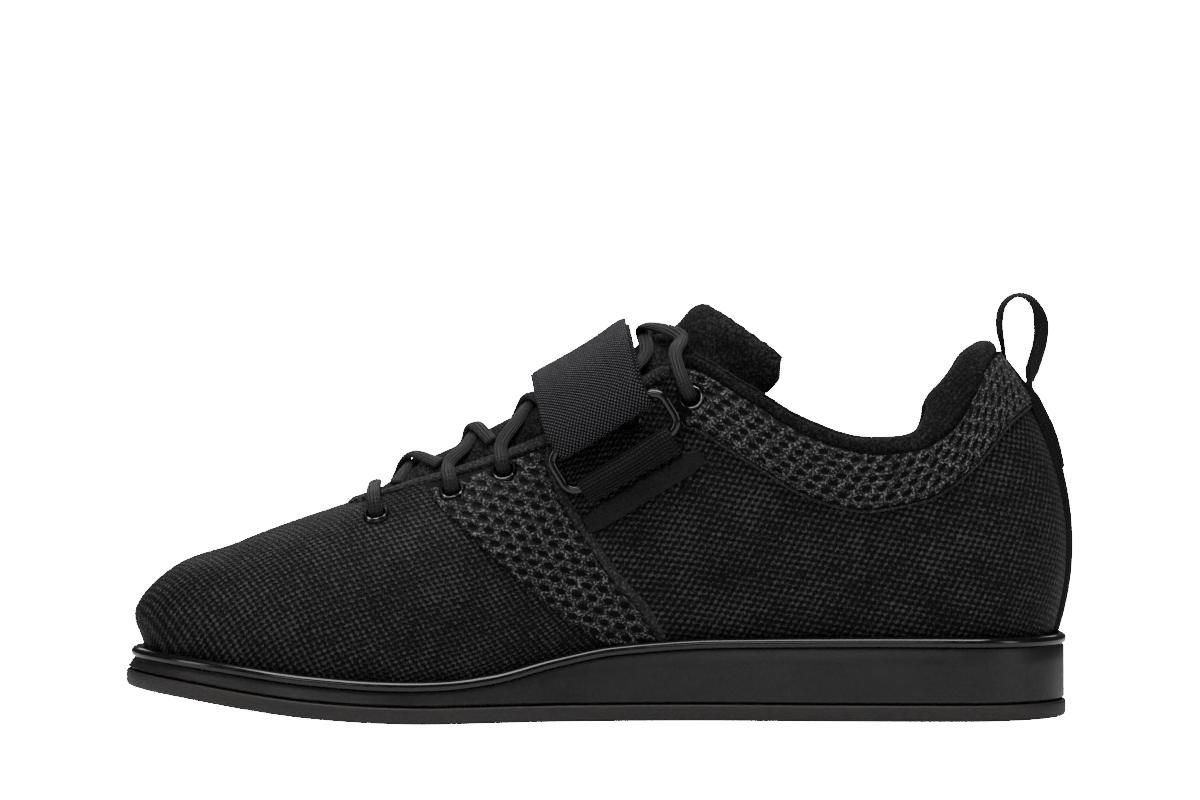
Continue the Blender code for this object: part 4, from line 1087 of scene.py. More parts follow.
def roll_deep(sections, column="deep"):
    """The rolled lining's reach at each section, counted with fractions: down the outer face, or above it."""
    edge_along = (HEEL_X - SKIN[:, -1, 0]) / SOLE_LENGTH
    here = np.interp(
        np.asarray(sections) % AROUND, np.arange(AROUND + 1), np.append(edge_along, edge_along[0])
    )
    return smooth(COLLAR_TURN, column, here, "along")


collar_sections = np.arange(-0.44, 0.44, NET_GRAIN / ROUND_METRES[HALF])
rounds = (np.sign(collar_sections) * np.interp(np.abs(collar_sections), [0, 1], [0, HALF])) % AROUND
near = rounds.astype(int) % AROUND
far = (near + 1) % AROUND
part = (rounds - rounds.astype(int))[:, None]
collar_deep = np.arange(0.0016, 0.0245, NET_GRAIN)
places = np.empty((len(rounds), len(collar_deep), 3))
outs = np.empty_like(places)
for values, result in ((FACE, places), (SKIN_OUT, outs)):
    for row in range(len(rounds)):
        one = read_down(values, near[row], collar_deep)
        two = read_down(values, far[row], collar_deep)
        result[row] = one + (two - one) * part[row]
outs = unit(outs)
band_here = band_deep[near] * (1 - part[:, 0]) + band_deep[far] * part[:, 0]
inside = np.minimum(
    band_here[:, None] - collar_deep[None, :], collar_deep[None, :] - roll_deep(rounds)[:, None] - 0.0004
)
inside = clear_of_eyelets(inside, places)
round_here = ROUND_METRES[near] + part[:, 0] * (ROUND_METRES[near + 1] - ROUND_METRES[near])
round_here = np.where(near > HALF, ROUND_METRES[-1] - round_here, round_here)
opening = openings_at(-round_here[:, None] * 0.92, -collar_deep[None, :], **COLLAR_MESH)
patch("open_mesh_collar", places, outs, opening * 0.85, inside, net_yarn)
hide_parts("upper")


def raised_strip(name, path, outs, wide, high, material, steps=9):
    """A soft-edged strip laid along a path, half sunk in what it lies on."""
    path = np.asarray(path)
    out = unit(np.asarray(outs))
    ahead = unit(np.gradient(path, axis=0))
    across = unit(np.cross(ahead, out))
    taper = np.clip(np.arange(len(path)) / 3, 0.2, 1)
    taper = np.minimum(taper, taper[::-1])[:, None]
    grid = []
    for angle in np.arange(steps) * 2 * math.pi / steps:
        grid.append(path + (across * math.cos(angle) * wide / 2 + out * math.sin(angle) * high) * taper)
    piece = place_piece(name, woven(name, np.stack(grid, axis=1), capped=True), material, 180)
    return piece


# Seams and borders: a thin piped seam under the collar panel, a soft fuzzy border behind each side band, and
# the throat's and collar's folded knit edge.
seam_yarn, tree, shader = paint(
    "seam yarn", (0.012, 0.0115, 0.012), 0.75, Sheen_Weight=0.06, Sheen_Roughness=0.4
)
fuzz = noise(tree, coordinates(tree), 0.0007, 4.0)
# Painted glints: light specks on the yarn's fuzz stand for light catching it.
coloured(tree, shader, ease(tree, fuzz, 0.47, 0.68), (0.003, 0.0028, 0.003), (0.070, 0.067, 0.071))
emboss(tree, shader, fuzz, 0.0005)
order = [i % AROUND for i in range(-int(HALF * 0.46), int(HALF * 0.46) + 1)]
around_all = turns()[0]
order = [i for i in order if around_all[i] < 0.46]
order.sort(key=lambda i: around_all[i] * (1 if turns()[1][i] < 0 else -1))
seam_path, seam_outs = zip(*(skin_at(i, np.array([band_deep[i] + 0.0004])) for i in order))
raised_strip(
    "collar_seam",
    np.array(seam_path)[:, 0],
    np.array(seam_outs)[:, 0],
    0.0011,
    0.0007 + OVERLAY_STEP,
    seam_yarn,
)
for side, word in ((MEDIAL, "inner"), (LATERAL, "outer")):
    ups = np.linspace(0.19, 0.74, 60)
    rears = smooth(SIDE_BAND, "rear", ups, "up") - 0.0015 / SOLE_LENGTH
    path, outs = on_skin(side, rears, ups)
    raised_strip(f"band_border_{word}", path, outs, 0.0034, 0.0008, seam_yarn)
    edge = [i for i in range(AROUND) if turns()[1][i] == side and 0.44 < around_all[i] < 0.955]
    edge.sort(key=lambda i: around_all[i])
    path, outs = zip(*(skin_at(i, np.array([0.0022])) for i in edge))
    path, outs = np.array(path)[:, 0], np.array(outs)[:, 0]
    raised_strip(f"throat_edge_{word}", path, outs, 0.0046, 0.0006 + OVERLAY_STEP, seam_yarn, 12)


# Tongue: soft black knit over thin foam, with a wide top that flares up out of the throat. Its padding is
# swelled by a short cloth simulation, from a slightly smaller shape.

# The tongue's middle, from its toe end to its top. along is a share of SOLE_LENGTH and crown of
# INSTEP_HEIGHT.
TONGUE_CROWN = table(
    "along crown",
    (0.745, 0.583),
    (0.720, 0.630),
    (0.690, 0.680),
    (0.650, 0.725),
    (0.610, 0.778),
    (0.570, 0.832),
    (0.530, 0.885),
    (0.490, 0.945),
    (0.465, 0.990),
)
TONGUE_TOP = table(
    "along crown wing_along wing_up wing_out",
    (0.430, 1.056, 0.366, 0.845, 0.285),
    (0.410, 1.100, 0.309, 0.900, 0.300),
    (0.397, 1.130, 0.301, 0.960, 0.310),
    (0.387, 1.146, 0.299, 0.996, 0.300),
)
TONGUE_TUCK = 0.006
TONGUE_THICK = 0.007
THROAT = (0.945, 0.462)
CURVE = np.linspace(0, 1, 6)


def throat_at(along, side):
    """The upper's edge beside a tongue section: the edge's top, what lies under it, and its outward way."""
    around, sides = turns()
    use = [i for i in range(AROUND) if sides[i] == side and THROAT[1] <= around[i] <= THROAT[0]]
    use.sort(key=lambda i: -SKIN[i, -1, 0])
    x = np.array([-SKIN[i, -1, 0] for i in use])
    here = -(HEEL_X - along * SOLE_LENGTH)
    under = []
    for i in use:
        deep = along_wall(WALLS[i], TONGUE_TUCK)
        under.append(deep - SKIN_OUT[i, BODY_ROWS] * (WALL + CLEAR))
    top = np.array([SKIN[i, -1] for i in use])
    out = np.array([SKIN_OUT[i, -1] for i in use])

    def read(values):
        return np.array([np.interp(here, x, values[:, k]) for k in range(3)])

    return read(top), read(np.array(under)), unit(read(out))


def dome(wing, edge, crown):
    """Half a section, from wing to edge and up over a round shoulder to the middle."""
    angle = CURVE[1:] * math.pi / 2
    rise = np.column_stack(
        [
            edge[0] + (crown[0] - edge[0]) * np.sin(angle),
            crown[1] + (edge[1] - crown[1]) * np.cos(angle),
            edge[2] + (crown[2] - edge[2]) * np.sin(angle),
        ]
    )
    return np.vstack([wing, edge, rise])


def tongue_section(along, crown, top=None):
    """The tongue's outer face across one section, from the inner wing to the outer one."""
    middle = np.array([HEEL_X - along * SOLE_LENGTH, middle_y(along), crown * INSTEP_HEIGHT])
    halves = []
    for side in (MEDIAL, LATERAL):
        if top is None:
            edge, wing, out = throat_at(along, side)
            edge = edge - out * (WALL + CLEAR)
        else:
            wing_along, wing_up, wing_out = top
            out = side * wing_out * COLLAR_WIDTH
            wing = np.array(
                [HEEL_X - wing_along * SOLE_LENGTH, middle_y(wing_along) + out, wing_up * INSTEP_HEIGHT]
            )
            edge = wing + (middle - wing) * np.array([0.12, 0.0, 0.12])
        halves.append(dome(wing, edge, middle))
    return np.vstack([halves[0], halves[1][-2::-1]])


def tongue_sections():
    rows = [
        tongue_section(along, crown)
        for along, crown in zip(TONGUE_CROWN["along"], TONGUE_CROWN["crown"])
    ]
    for along, crown, *top in zip(*TONGUE_TOP.values()):
        rows.append(tongue_section(along, crown, top))
    rows = np.array(rows)
    keys = {"along": np.arange(len(rows), dtype=float)}
    at = np.linspace(0, len(rows) - 1, 2 * len(rows) - 1)
    finer = np.empty((len(at), *rows.shape[1:]))
    for point in range(rows.shape[1]):
        for k in range(3):
            keys["value"] = rows[:, point, k]
            finer[:, point, k] = smooth(keys, "value", at)
    return finer


def on_tongue(along, share):
    """A place on the tongue's outer face: share runs from -1 at the inner edge to 1 at the outer one."""
    count = TONGUE_FACE.shape[1]
    first = 1
    at = first + (share + 1) / 2 * (count - 1 - 2 * first)
    i = min(int(at), count - 2)
    line = TONGUE_FACE[:, i] * (1 - (at - i)) + TONGUE_FACE[:, i + 1] * (at - i)
    middle = TONGUE_FACE[:, count // 2, 0]
    here = HEEL_X - along * SOLE_LENGTH
    return np.array([np.interp(here, middle, line[:, k]) for k in range(3)])


def through(points, count):
    """Evenly spaced places on a smooth curve through a few points."""
    points = np.asarray(points, float)
    keys = metres_along(points)
    slope = np.gradient(points, keys, axis=0)
    at = np.linspace(0, keys[-1], count)
    i = np.clip(np.searchsorted(keys, at, side="right") - 1, 0, len(keys) - 2)
    step = (keys[i + 1] - keys[i])[:, None]
    t = ((at - keys[i]) / (keys[i + 1] - keys[i]))[:, None]
    low = (1 + 2 * t) * (1 - t) ** 2 * points[i] + t * (1 - t) ** 2 * step * slope[i]
    return low + t * t * (3 - 2 * t) * points[i + 1] + t * t * (t - 1) * step * slope[i + 1]


def swelled(mesh, voxel, pressure, reach):
    """A closed shape remeshed and swelled like a soft pad, with no point moved further than reach."""
    pad = bpy.data.objects.new("pad", mesh)
    bpy.context.scene.collection.objects.link(pad)
    remesh = pad.modifiers.new("even", "REMESH")
    remesh.mode = "VOXEL"
    remesh.voxel_size = voxel
    even = pad.modifiers.new("smooth", "SMOOTH")
    even.factor = 0.5
    even.iterations = 8
    pad.data = bpy.data.meshes.new_from_object(pad.evaluated_get(bpy.context.evaluated_depsgraph_get()))
    pad.modifiers.clear()
    start = np.array([vert.co for vert in pad.data.vertices])
    cloth = pad.modifiers.new("cloth", "CLOTH")
    cloth.settings.use_pressure = True
    cloth.settings.uniform_pressure_force = pressure
    cloth.settings.effector_weights.gravity = 0
    cloth.settings.quality = 4
    scene = bpy.context.scene
    for step in range(1, CLOTH_STEPS + 1):
        scene.frame_set(step)
    grown = pad.evaluated_get(bpy.context.evaluated_depsgraph_get())
    moved = np.array([vert.co for vert in grown.data.vertices]) - start
    far = np.linalg.norm(moved, axis=1, keepdims=True)
    moved *= np.minimum(1, reach / np.maximum(far, 1e-9))
    pad.modifiers.clear()
    scene.frame_set(1)
    for vert, place in zip(pad.data.vertices, start + moved):
        vert.co = place
    finer = pad.modifiers.new("finer", "SUBSURF")
    finer.levels = 1
    finer.render_levels = 1
    made = bpy.data.meshes.new_from_object(pad.evaluated_get(bpy.context.evaluated_depsgraph_get()))
    bpy.data.objects.remove(pad)
    return made


CLOTH_STEPS = 20
TONGUE_ROWS = 110
TONGUE_ACROSS = 61
TONGUE_SPARE = 0.0006
TONGUE_BULGE = 0.0016
TONGUE_RIDGE = 0.0022
RIDGE_ALONG = 0.449
RIDGE_LONG = 0.016
TONGUE_FACE = tongue_sections()
columns = np.array([through(TONGUE_FACE[:, j], TONGUE_ROWS) for j in range(TONGUE_FACE.shape[1])])
tongue_grid = np.array([through(columns[:, i], TONGUE_ACROSS) for i in range(TONGUE_ROWS)])
ridge = np.exp(-(((HEEL_X - tongue_grid[..., 0]) / SOLE_LENGTH - RIDGE_ALONG) / RIDGE_LONG) ** 2)
tongue_grid[..., 2] += TONGUE_RIDGE * ridge * (1 - np.linspace(-1, 1, TONGUE_ACROSS) ** 2)
tongue_out = unit(np.cross(np.gradient(tongue_grid, axis=1), np.gradient(tongue_grid, axis=0)))
tongue_out *= np.sign(tongue_out[:, TONGUE_ACROSS // 2, 2].mean())
tongue_rows = np.linspace(0, 1, TONGUE_ROWS)[:, None]
tongue_sides = np.abs(np.linspace(-1, 1, TONGUE_ACROSS))[None, :]
side_round = np.clip((1 - tongue_sides) / 0.06, 0.35, 1)
top_round = np.clip((1 - tongue_rows) / 0.035, 0.35, 1)
rim_round = side_round**0.5 * top_round**0.5
tongue_thick = TONGUE_THICK * (1 - 0.3 * tongue_sides**4) * np.interp(
    tongue_rows, [0, 0.3, 0.9, 1], [0.45, 0.75, 1, 0.9]
)
wave = 0.0009 * np.sin(tongue_rows * 23 + tongue_sides * 5) * np.clip((tongue_rows - 0.55) / 0.2, 0, 1)
bulge = TONGUE_BULGE * (1 - tongue_sides**2) * np.clip((0.75 - tongue_rows) / 0.2, 0, 1)
outer_drop = TONGUE_SPARE - bulge + tongue_thick * 0.45 * (1 - rim_round) + np.clip(wave, 0, 1)
inner_drop = tongue_thick - TONGUE_SPARE - tongue_thick * 0.45 * (1 - rim_round)
tongue_body = np.concatenate(
    [
        tongue_grid - tongue_out * outer_drop[..., None],
        (tongue_grid - tongue_out * inner_drop[..., None])[:, ::-1],
    ],
    axis=1,
)
tongue_mesh = swelled(woven("tongue_pad", tongue_body, capped=True), 0.0012, 3.0, TONGUE_SPARE)


def soft_knit(name, dark, light, wale, depth, turn=0.0):
    """Soft fine-grained knit: faint wales, fuzz and cloudy light."""
    material, tree, shader = paint(name, dark, 0.8, Sheen_Weight=0.06, Sheen_Roughness=0.4)
    shader.inputs["Specular IOR Level"].default_value = 0.15
    place = coordinates(tree)
    grain = noise(tree, place, 0.0008, 4.0)
    cloud = noise(tree, place, 0.010)
    rows = tree.nodes.new("ShaderNodeTexWave")
    rows.inputs["Scale"].default_value = 0.314 / wale
    rows.inputs["Distortion"].default_value = 1.5
    rows.inputs["Detail"].default_value = 2.0
    rows.inputs["Detail Scale"].default_value = 3.0
    tree.links.new(coordinates(tree, turn=turn), rows.inputs["Vector"])
    share = calc(tree, "ADD", calc(tree, "MULTIPLY", grain, 0.8), calc(tree, "MULTIPLY", cloud, 0.35))
    coloured(tree, shader, ease(tree, share, 0.48, 0.85), dark, light)
    height = calc(
        tree, "ADD", calc(tree, "MULTIPLY", rows.outputs["Fac"], 0.35), calc(tree, "MULTIPLY", grain, 0.8)
    )
    emboss(tree, shader, height, depth)
    return material


tongue_knit = soft_knit("tongue knit", (0.0045, 0.0040, 0.0045), (0.066, 0.062, 0.068), 0.0011, 0.0006)
tongue = place_piece("tongue_pad", tongue_mesh, tongue_knit, 180)
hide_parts("tongue")


# Laces: one flat ribbed polyester lace, run as a bar at the toe end and then crossed up the tongue. Each run
# comes up through its eyelet, or dives under the edge, and the top ends stop inside the top eyelets.
LACE_WIDTH = 0.0046
LACE_THICK = 0.002
LACE_LIFT = LACE_THICK / 2 + CLEAR
LACE_ASIDE = 0.8 * LACE_WIDTH
LAST_EYELET = len(EYELETS["along"]) - 1
LACE_UP = np.array([-0.4, 0, 0.92])
LACE_STEPS = 90
LACE_ROUND = 20
LACE_DIVE = 0.0035


def lace_side(number, side, outside):
    """Where a run starts or ends on one side: over the edge from its eyelet, or just inside the edge."""
    along = EYELETS["along"][number]
    inner_out = unit(np.array([-0.4, side * 0.6, 1.0]))
    aside = LACE_ASIDE / SOLE_LENGTH
    if not outside:
        inner = on_tongue(along - 1.6 * aside if number == 0 else along + aside, side * 0.6)
        return [inner + inner_out * LACE_LIFT], [inner_out]
    inner = on_tongue(along + 2 * aside if number == LAST_EYELET else along - aside, side * 0.5)
    place, out = on_skin(side, along, EYELETS["up"][number])
    lift = OVERLAY_STEP + LACE_LIFT
    if number == LAST_EYELET:
        edge, edge_out = on_skin(side, along + aside, 0.975)
        inner_lift = 2.2 * LACE_LIFT
    else:
        edge, _, edge_out = throat_at(along, side)
        inner_lift = 1.25 * LACE_LIFT
    over = unit(edge_out + inner_out)
    return (
        [
            place + out * (EYELET_PROUD + 1.2 * LACE_LIFT),
            edge + over * lift * 1.3,
            inner + inner_out * inner_lift,
        ],
        [out, over, inner_out],
    )


def lace_grid(points, outs):
    """A flat oval lace's places and cloth coordinates through a few points, its flat side facing outward."""
    path = through(points, LACE_STEPS)
    out = unit(through(outs, LACE_STEPS))
    ahead = unit(np.gradient(path, axis=0))
    across = unit(np.cross(ahead, out))
    out = unit(np.cross(across, ahead))
    far = metres_along(path)
    squeeze = 1 - 0.12 * np.sin(far / 0.011) ** 2
    grid = []
    for angle in np.arange(LACE_ROUND) * 2 * math.pi / LACE_ROUND:
        wide = math.copysign(abs(math.cos(angle)) ** 0.8, math.cos(angle)) * LACE_WIDTH / 2
        thick = math.sin(angle) * LACE_THICK / 2
        grid.append(path + across * (wide * squeeze)[:, None] + out * thick)
    flat = np.stack(np.meshgrid(far, np.arange(LACE_ROUND + 1) / LACE_ROUND, indexing="ij"), axis=-1)
    return np.stack(grid, axis=1), flat


def into_eyelet(number, side, points, outs):
    """A run's outside end taken down into its eyelet."""
    place, out = on_skin(side, EYELETS["along"][number], EYELETS["up"][number])
    toward = unit(points[1] - points[0])
    dive = [place - out * LACE_DIVE, place + out * 0.0010 + toward * 0.0004]
    return [*dive, points[0] + toward * 0.0012, *points[1:]], [-toward, unit(out - toward), *outs]


lace_paint, tree, shader = paint("lace", (0.010, 0.0095, 0.010), 0.6, Sheen_Weight=0.05, Sheen_Roughness=0.4)
flat = tree.nodes.new("ShaderNodeSeparateXYZ")
tree.links.new(coordinates(tree, cloth="cloth"), flat.inputs[0])
RIBS = 14
PLAIT_PITCH = 0.0009
rib = calc(tree, "COSINE", calc(tree, "MULTIPLY", flat.outputs[1], RIBS * 2 * math.pi))
lean_in = calc(
    tree,
    "ADD",
    calc(tree, "MULTIPLY", flat.outputs[0], 2 * math.pi / PLAIT_PITCH),
    calc(tree, "MULTIPLY", rib, 0.9),
)
plait = calc(tree, "SINE", lean_in)
height = calc(tree, "ADD", calc(tree, "MULTIPLY", rib, 0.35), calc(tree, "MULTIPLY", plait, 0.15))
height = calc(tree, "ADD", height, 0.5)
# Painted highlight and shade: the lace is coloured lighter on its rib and plait crests and near-black in the
# grooves.
coloured(tree, shader, height, (0.0008, 0.0008, 0.0008), (0.026, 0.0245, 0.0265))
emboss(tree, shader, height, 0.0003)


def lace(name, runs):
    """One lace node's runs, joined into one piece."""
    joined = bmesh.new()
    for points, outs in runs:
        grid, flat = lace_grid(points, outs)
        mesh = woven(name, grid, capped=True, cloth=flat)
        joined.from_mesh(mesh)
        bpy.data.meshes.remove(mesh)
    mesh = bpy.data.meshes.new(name)
    joined.to_mesh(mesh)
    joined.free()
    piece = place_piece(f"woven_{name}", mesh, lace_paint, 180)
    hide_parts(name)


start_points, start_outs = lace_side(0, MEDIAL, True)
end_points, end_outs = lace_side(0, LATERAL, True)
start_points, start_outs = into_eyelet(0, MEDIAL, start_points[:2], start_outs[:2])
end_points, end_outs = into_eyelet(0, LATERAL, end_points[:2], end_outs[:2])
top = on_tongue(EYELETS["along"][0], 0) + LACE_UP * LACE_LIFT * 1.4
lace("lace_bar", [(start_points + [top] + end_points[::-1], start_outs + [LACE_UP] + end_outs[::-1])])
for number in range(LAST_EYELET):
    middle = (EYELETS["along"][number] + EYELETS["along"][number + 1]) / 2
    runs = []
    for side in (MEDIAL, LATERAL):
        rise = 1.2 if side == MEDIAL else 2.5
        last = number + 1 == LAST_EYELET
        if last:
            rise -= 0.1
        top = on_tongue(middle + (LACE_ASIDE / SOLE_LENGTH if last else 0), 0) + LACE_UP * LACE_LIFT * rise
        start_points, start_outs = map(list, lace_side(number, side, number > 0))
        if number > 0:
            start_points, start_outs = into_eyelet(number, side, start_points, start_outs)
        end_points, end_outs = map(list, lace_side(number + 1, -side, last))
        if last:
            end_points, end_outs = into_eyelet(number + 1, -side, end_points, end_outs)
        runs.append((start_points + [top] + end_points[::-1], start_outs + [LACE_UP] + end_outs[::-1]))
    lace(f"lace_cross_{number + 1}", runs)


# Strap: plain-woven nylon webbing, its ribs coloured bright as a painted highlight. It is sewn to the outer
# flank, crosses the instep, turns round a glossy black wire ring on the inner side and comes back over
# itself. A ribbed keeper holds the ring, and a smooth pressed strip holds the keeper's ends.
RING_LENGTH = 0.043
RING_WIDTH = 0.0165
RING_WIRE = 0.0029
RING_CORNER = 0.0028
RING_TILT = math.radians(30)
RING_ALONG = 0.475
RING_UP = 0.742
RING_OFF = LACE_THICK + EYELET_PROUD + CLEAR + RING_WIRE
RING_LEAN = math.radians(20)
KEEPER_LEG = 0.0035
KEEPER_WIDTH = 0.0325
STRAP_WIDTH = 0.034
STRAP_THICK = 0.002
# Rows of the strap's outer half, from the instep down to its anchor on the outer flank. along and up place
# its middle as it shows from the side, and off is how far it stands from the upper, of STRAP_THICK.
STRAP_OUTER = table(
    "along up off",
    (0.500, 0.800, 3.1),
    (0.488, 0.700, 2.1),
    (0.476, 0.600, 1.35),
    (0.466, 0.500, 1.20),
    (0.458, 0.410, 1.15),
)
STRAP_ALONG = 0.503
FOLD_WIDTH = RING_LENGTH - RING_WIRE - 2 * RING_CORNER - 2 * CLEAR
STRAP_TILT = math.radians(31)
WEBBING_THICK = 0.0012
ARCH_ROWS = 9
WIDTH_WAYS = np.linspace(-1, 1, 21)
FOLD = np.linspace(0, math.pi, 11)


def ring_frame():
    """The ring's middle, and its long, short and outward directions."""
    place, out = on_skin(MEDIAL, RING_ALONG, RING_UP)
    long_way = np.array([math.cos(RING_TILT), 0, math.sin(RING_TILT)])
    long_way = unit(long_way - out * np.dot(long_way, out))
    short_way = np.cross(out, long_way)
    short_way *= np.sign(short_way[2])
    leaning = short_way * math.cos(RING_LEAN) + out * math.sin(RING_LEAN)
    facing_out = np.cross(long_way, leaning)
    facing_out *= np.sign(np.dot(facing_out, out))
    return place + out * RING_OFF, long_way, leaning, facing_out


def round_bar(bar, long_way, short_way, out, wide, radius, towards):
    """Places round one of the ring's bars, from under it to over it, passing its far side."""
    rows = []
    for angle in FOLD:
        turn = towards * short_way * math.sin(angle) - out * math.cos(angle)
        rows.append([bar + long_way * wide / 2 * share + turn * radius for share in WIDTH_WAYS])
    return rows


def skin_row(side, along, up, slope, wide, off):
    """Places across a band's width on the upper, at an offset from its face."""
    row = []
    for share in WIDTH_WAYS:
        x_share = share * wide / 2 * math.cos(slope) / SOLE_LENGTH
        z_share = share * wide / 2 * math.sin(slope) / INSTEP_HEIGHT
        place, out = on_skin(side, along - x_share, up + z_share)
        row.append(place + out * off)
    return row


def arch(low, high, count):
    """Rows from a flank row up a round shoulder to the row on the instep, without either end."""
    last = math.radians(72)
    rows = []
    for part in np.linspace(1, 0, count + 2)[1:-1]:
        angle = last * part
        side_share = math.sin(angle) / math.sin(last)
        drop_share = (1 - math.cos(angle)) / (1 - math.cos(last))
        rows.append(high + (low - high) * np.array([drop_share, side_share, drop_share]))
    return rows


def webbing(name, rows, thick, material):
    """A woven band with rounded selvedges, through rows of places across its middle face."""
    rows = np.asarray(rows, float)
    middle = rows[:, rows.shape[1] // 2]
    count = int(np.linalg.norm(np.diff(middle, axis=0), axis=1).sum() / 0.0006)
    rows = np.stack([through(rows[:, j], count) for j in range(rows.shape[1])], axis=1)
    out = unit(np.cross(np.gradient(rows, axis=0), np.gradient(rows, axis=1)))
    edge = np.sqrt(1 - np.abs(np.linspace(-1, 1, rows.shape[1])) ** 12 * 0.9)[None, :, None]
    faces = np.concatenate([rows + out * thick / 2 * edge, (rows - out * thick / 2 * edge)[:, ::-1]], axis=1)
    far = np.linspace(0, np.linalg.norm(np.diff(rows[:, rows.shape[1] // 2], axis=0), axis=1).sum(), count)
    wide = np.linalg.norm(rows[count // 2, -1] - rows[count // 2, 0])
    over = np.linspace(0, wide, rows.shape[1])
    across = np.concatenate([over, over[::-1], over[:1]])
    flat = np.stack(np.meshgrid(far, across, indexing="ij"), axis=-1)
    return place_piece(name, woven(name, faces, capped=True, cloth=flat), material, 60)


def woven_paint(name, pitch_ahead, pitch_across, dark, light, roughness, depth, rib=0.0):
    """Plain weave: staggered threads, coloured bright on their crests as a painted highlight and dark in
    the gaps between them as painted shade.

    rib is the share of plain ribs in it: above 0 they run across the band, below 0 along it.
    """
    material, tree, shader = paint(name, dark, roughness, Specular_IOR_Level=0.2)
    flat = tree.nodes.new("ShaderNodeSeparateXYZ")
    tree.links.new(coordinates(tree, cloth="cloth"), flat.inputs[0])
    lobes = lattice(tree, flat.outputs[0], flat.outputs[1], pitch_ahead, pitch_across)
    ribs = calc(
        tree,
        "COSINE",
        calc(
            tree,
            "MULTIPLY",
            flat.outputs[0 if rib > 0 else 1],
            2 * math.pi / (pitch_ahead if rib > 0 else pitch_across),
        ),
    )
    height = calc(
        tree,
        "ADD",
        calc(tree, "MULTIPLY", lobes, 0.5 - abs(rib) / 2),
        calc(tree, "MULTIPLY", ribs, abs(rib) / 2),
    )
    fuzz = noise(tree, coordinates(tree), 0.0004, 4.0)
    height = calc(tree, "ADD", calc(tree, "ADD", height, 0.35), calc(tree, "MULTIPLY", fuzz, 0.3))
    # Painted highlight and shade: the colour follows the weave's height, dark in the gaps and light on the
    # crests.
    coloured(tree, shader, ease(tree, height, 0.42, 1.05), dark, light)
    emboss(tree, shader, height, depth)
    return material


# The webbings' light colours are painted highlights on their thread crests, and their dark ones painted shade
# in the gaps.
strap_weave = woven_paint(
    "strap webbing", 0.00125, 0.00125, (0.0008, 0.0007, 0.0010), (0.150, 0.143, 0.166), 0.6, 0.0005
)
keeper_weave = woven_paint(
    "keeper webbing", 0.0011, 0.0012, (0.0009, 0.0008, 0.0009), (0.036, 0.034, 0.038), 0.55, 0.0004, 0.55
)
middle, long_way, short_way, out = ring_frame()
bar = middle + short_way * (RING_WIDTH - RING_WIRE) / 2
radius = RING_WIRE / 2 + GAP + STRAP_THICK / 2
fold = np.array(round_bar(bar, long_way, short_way, out, FOLD_WIDTH, radius, -1))
apart = STRAP_THICK + GAP
instep = []
for share in WIDTH_WAYS:
    along = STRAP_ALONG - share * STRAP_WIDTH / 2 * math.cos(STRAP_TILT) / SOLE_LENGTH
    lift = 2 * LACE_THICK + 4 * CLEAR
    instep.append(on_tongue(along, 0) + np.array([-math.sin(STRAP_TILT), 0, math.cos(STRAP_TILT)]) * lift)
instep = np.array(instep)
outer = []
for along, up, off in zip(STRAP_OUTER["along"], STRAP_OUTER["up"], STRAP_OUTER["off"]):
    outer.append(skin_row(LATERAL, along, up, math.radians(25), STRAP_WIDTH, off * STRAP_THICK))
outer = np.array(outer)
past_bar = fold[0] + short_way * radius * 1.4
base = np.array(
    [past_bar, *arch(past_bar, instep, ARCH_ROWS), instep, *arch(outer[0], instep, ARCH_ROWS)[::-1], *outer]
)
away = unit(np.cross(np.gradient(base, axis=1), np.gradient(base, axis=0)))
away *= np.sign(away[ARCH_ROWS, 2, 2])
spread = np.zeros(len(base))
spread[:ARCH_ROWS] = np.linspace(1, 0, ARCH_ROWS) ** 2
back = base + away * (apart + (2 * radius - apart) * spread)[:, None, None]
strap = webbing("strap_webbing", np.concatenate([base[::-1], fold, back[:-1]]), STRAP_THICK, strap_weave)
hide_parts("strap")

ring_black, tree, shader = paint(
    "ring black", (0.004, 0.004, 0.0045), 0.2, Coat_Weight=0.6, Coat_Roughness=0.1
)
dulled(tree, shader, noise(tree, coordinates(tree), 0.003), 0.3, 0.7, 0.14, 0.26)
WIRE_CORNER = 0.0042
wire = []
for quarter in range(4):
    turn_x = math.copysign(1, math.cos((quarter + 0.5) * math.pi / 2))
    turn_y = math.copysign(1, math.sin((quarter + 0.5) * math.pi / 2))
    for part in range(13):
        angle = (quarter + part / 12) * math.pi / 2
        x = turn_x * ((RING_LENGTH - RING_WIRE) / 2 - WIRE_CORNER) + WIRE_CORNER * math.cos(angle)
        y = turn_y * ((RING_WIDTH - RING_WIRE) / 2 - WIRE_CORNER) + WIRE_CORNER * math.sin(angle)
        wire.append(middle + long_way * x + short_way * y)
wire = np.array(wire)
ahead = unit(np.roll(wire, -1, axis=0) - np.roll(wire, 1, axis=0))
beside = unit(np.cross(ahead, out))
turns_round = np.arange(20) * 2 * math.pi / 20
rings = [wire + (beside * math.cos(t) + out * math.sin(t)) * RING_WIRE / 2 for t in turns_round]
ring = place_piece("wire_ring", woven("wire_ring", np.stack(rings, axis=1), closed=True), ring_black, 60)
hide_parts("ring")

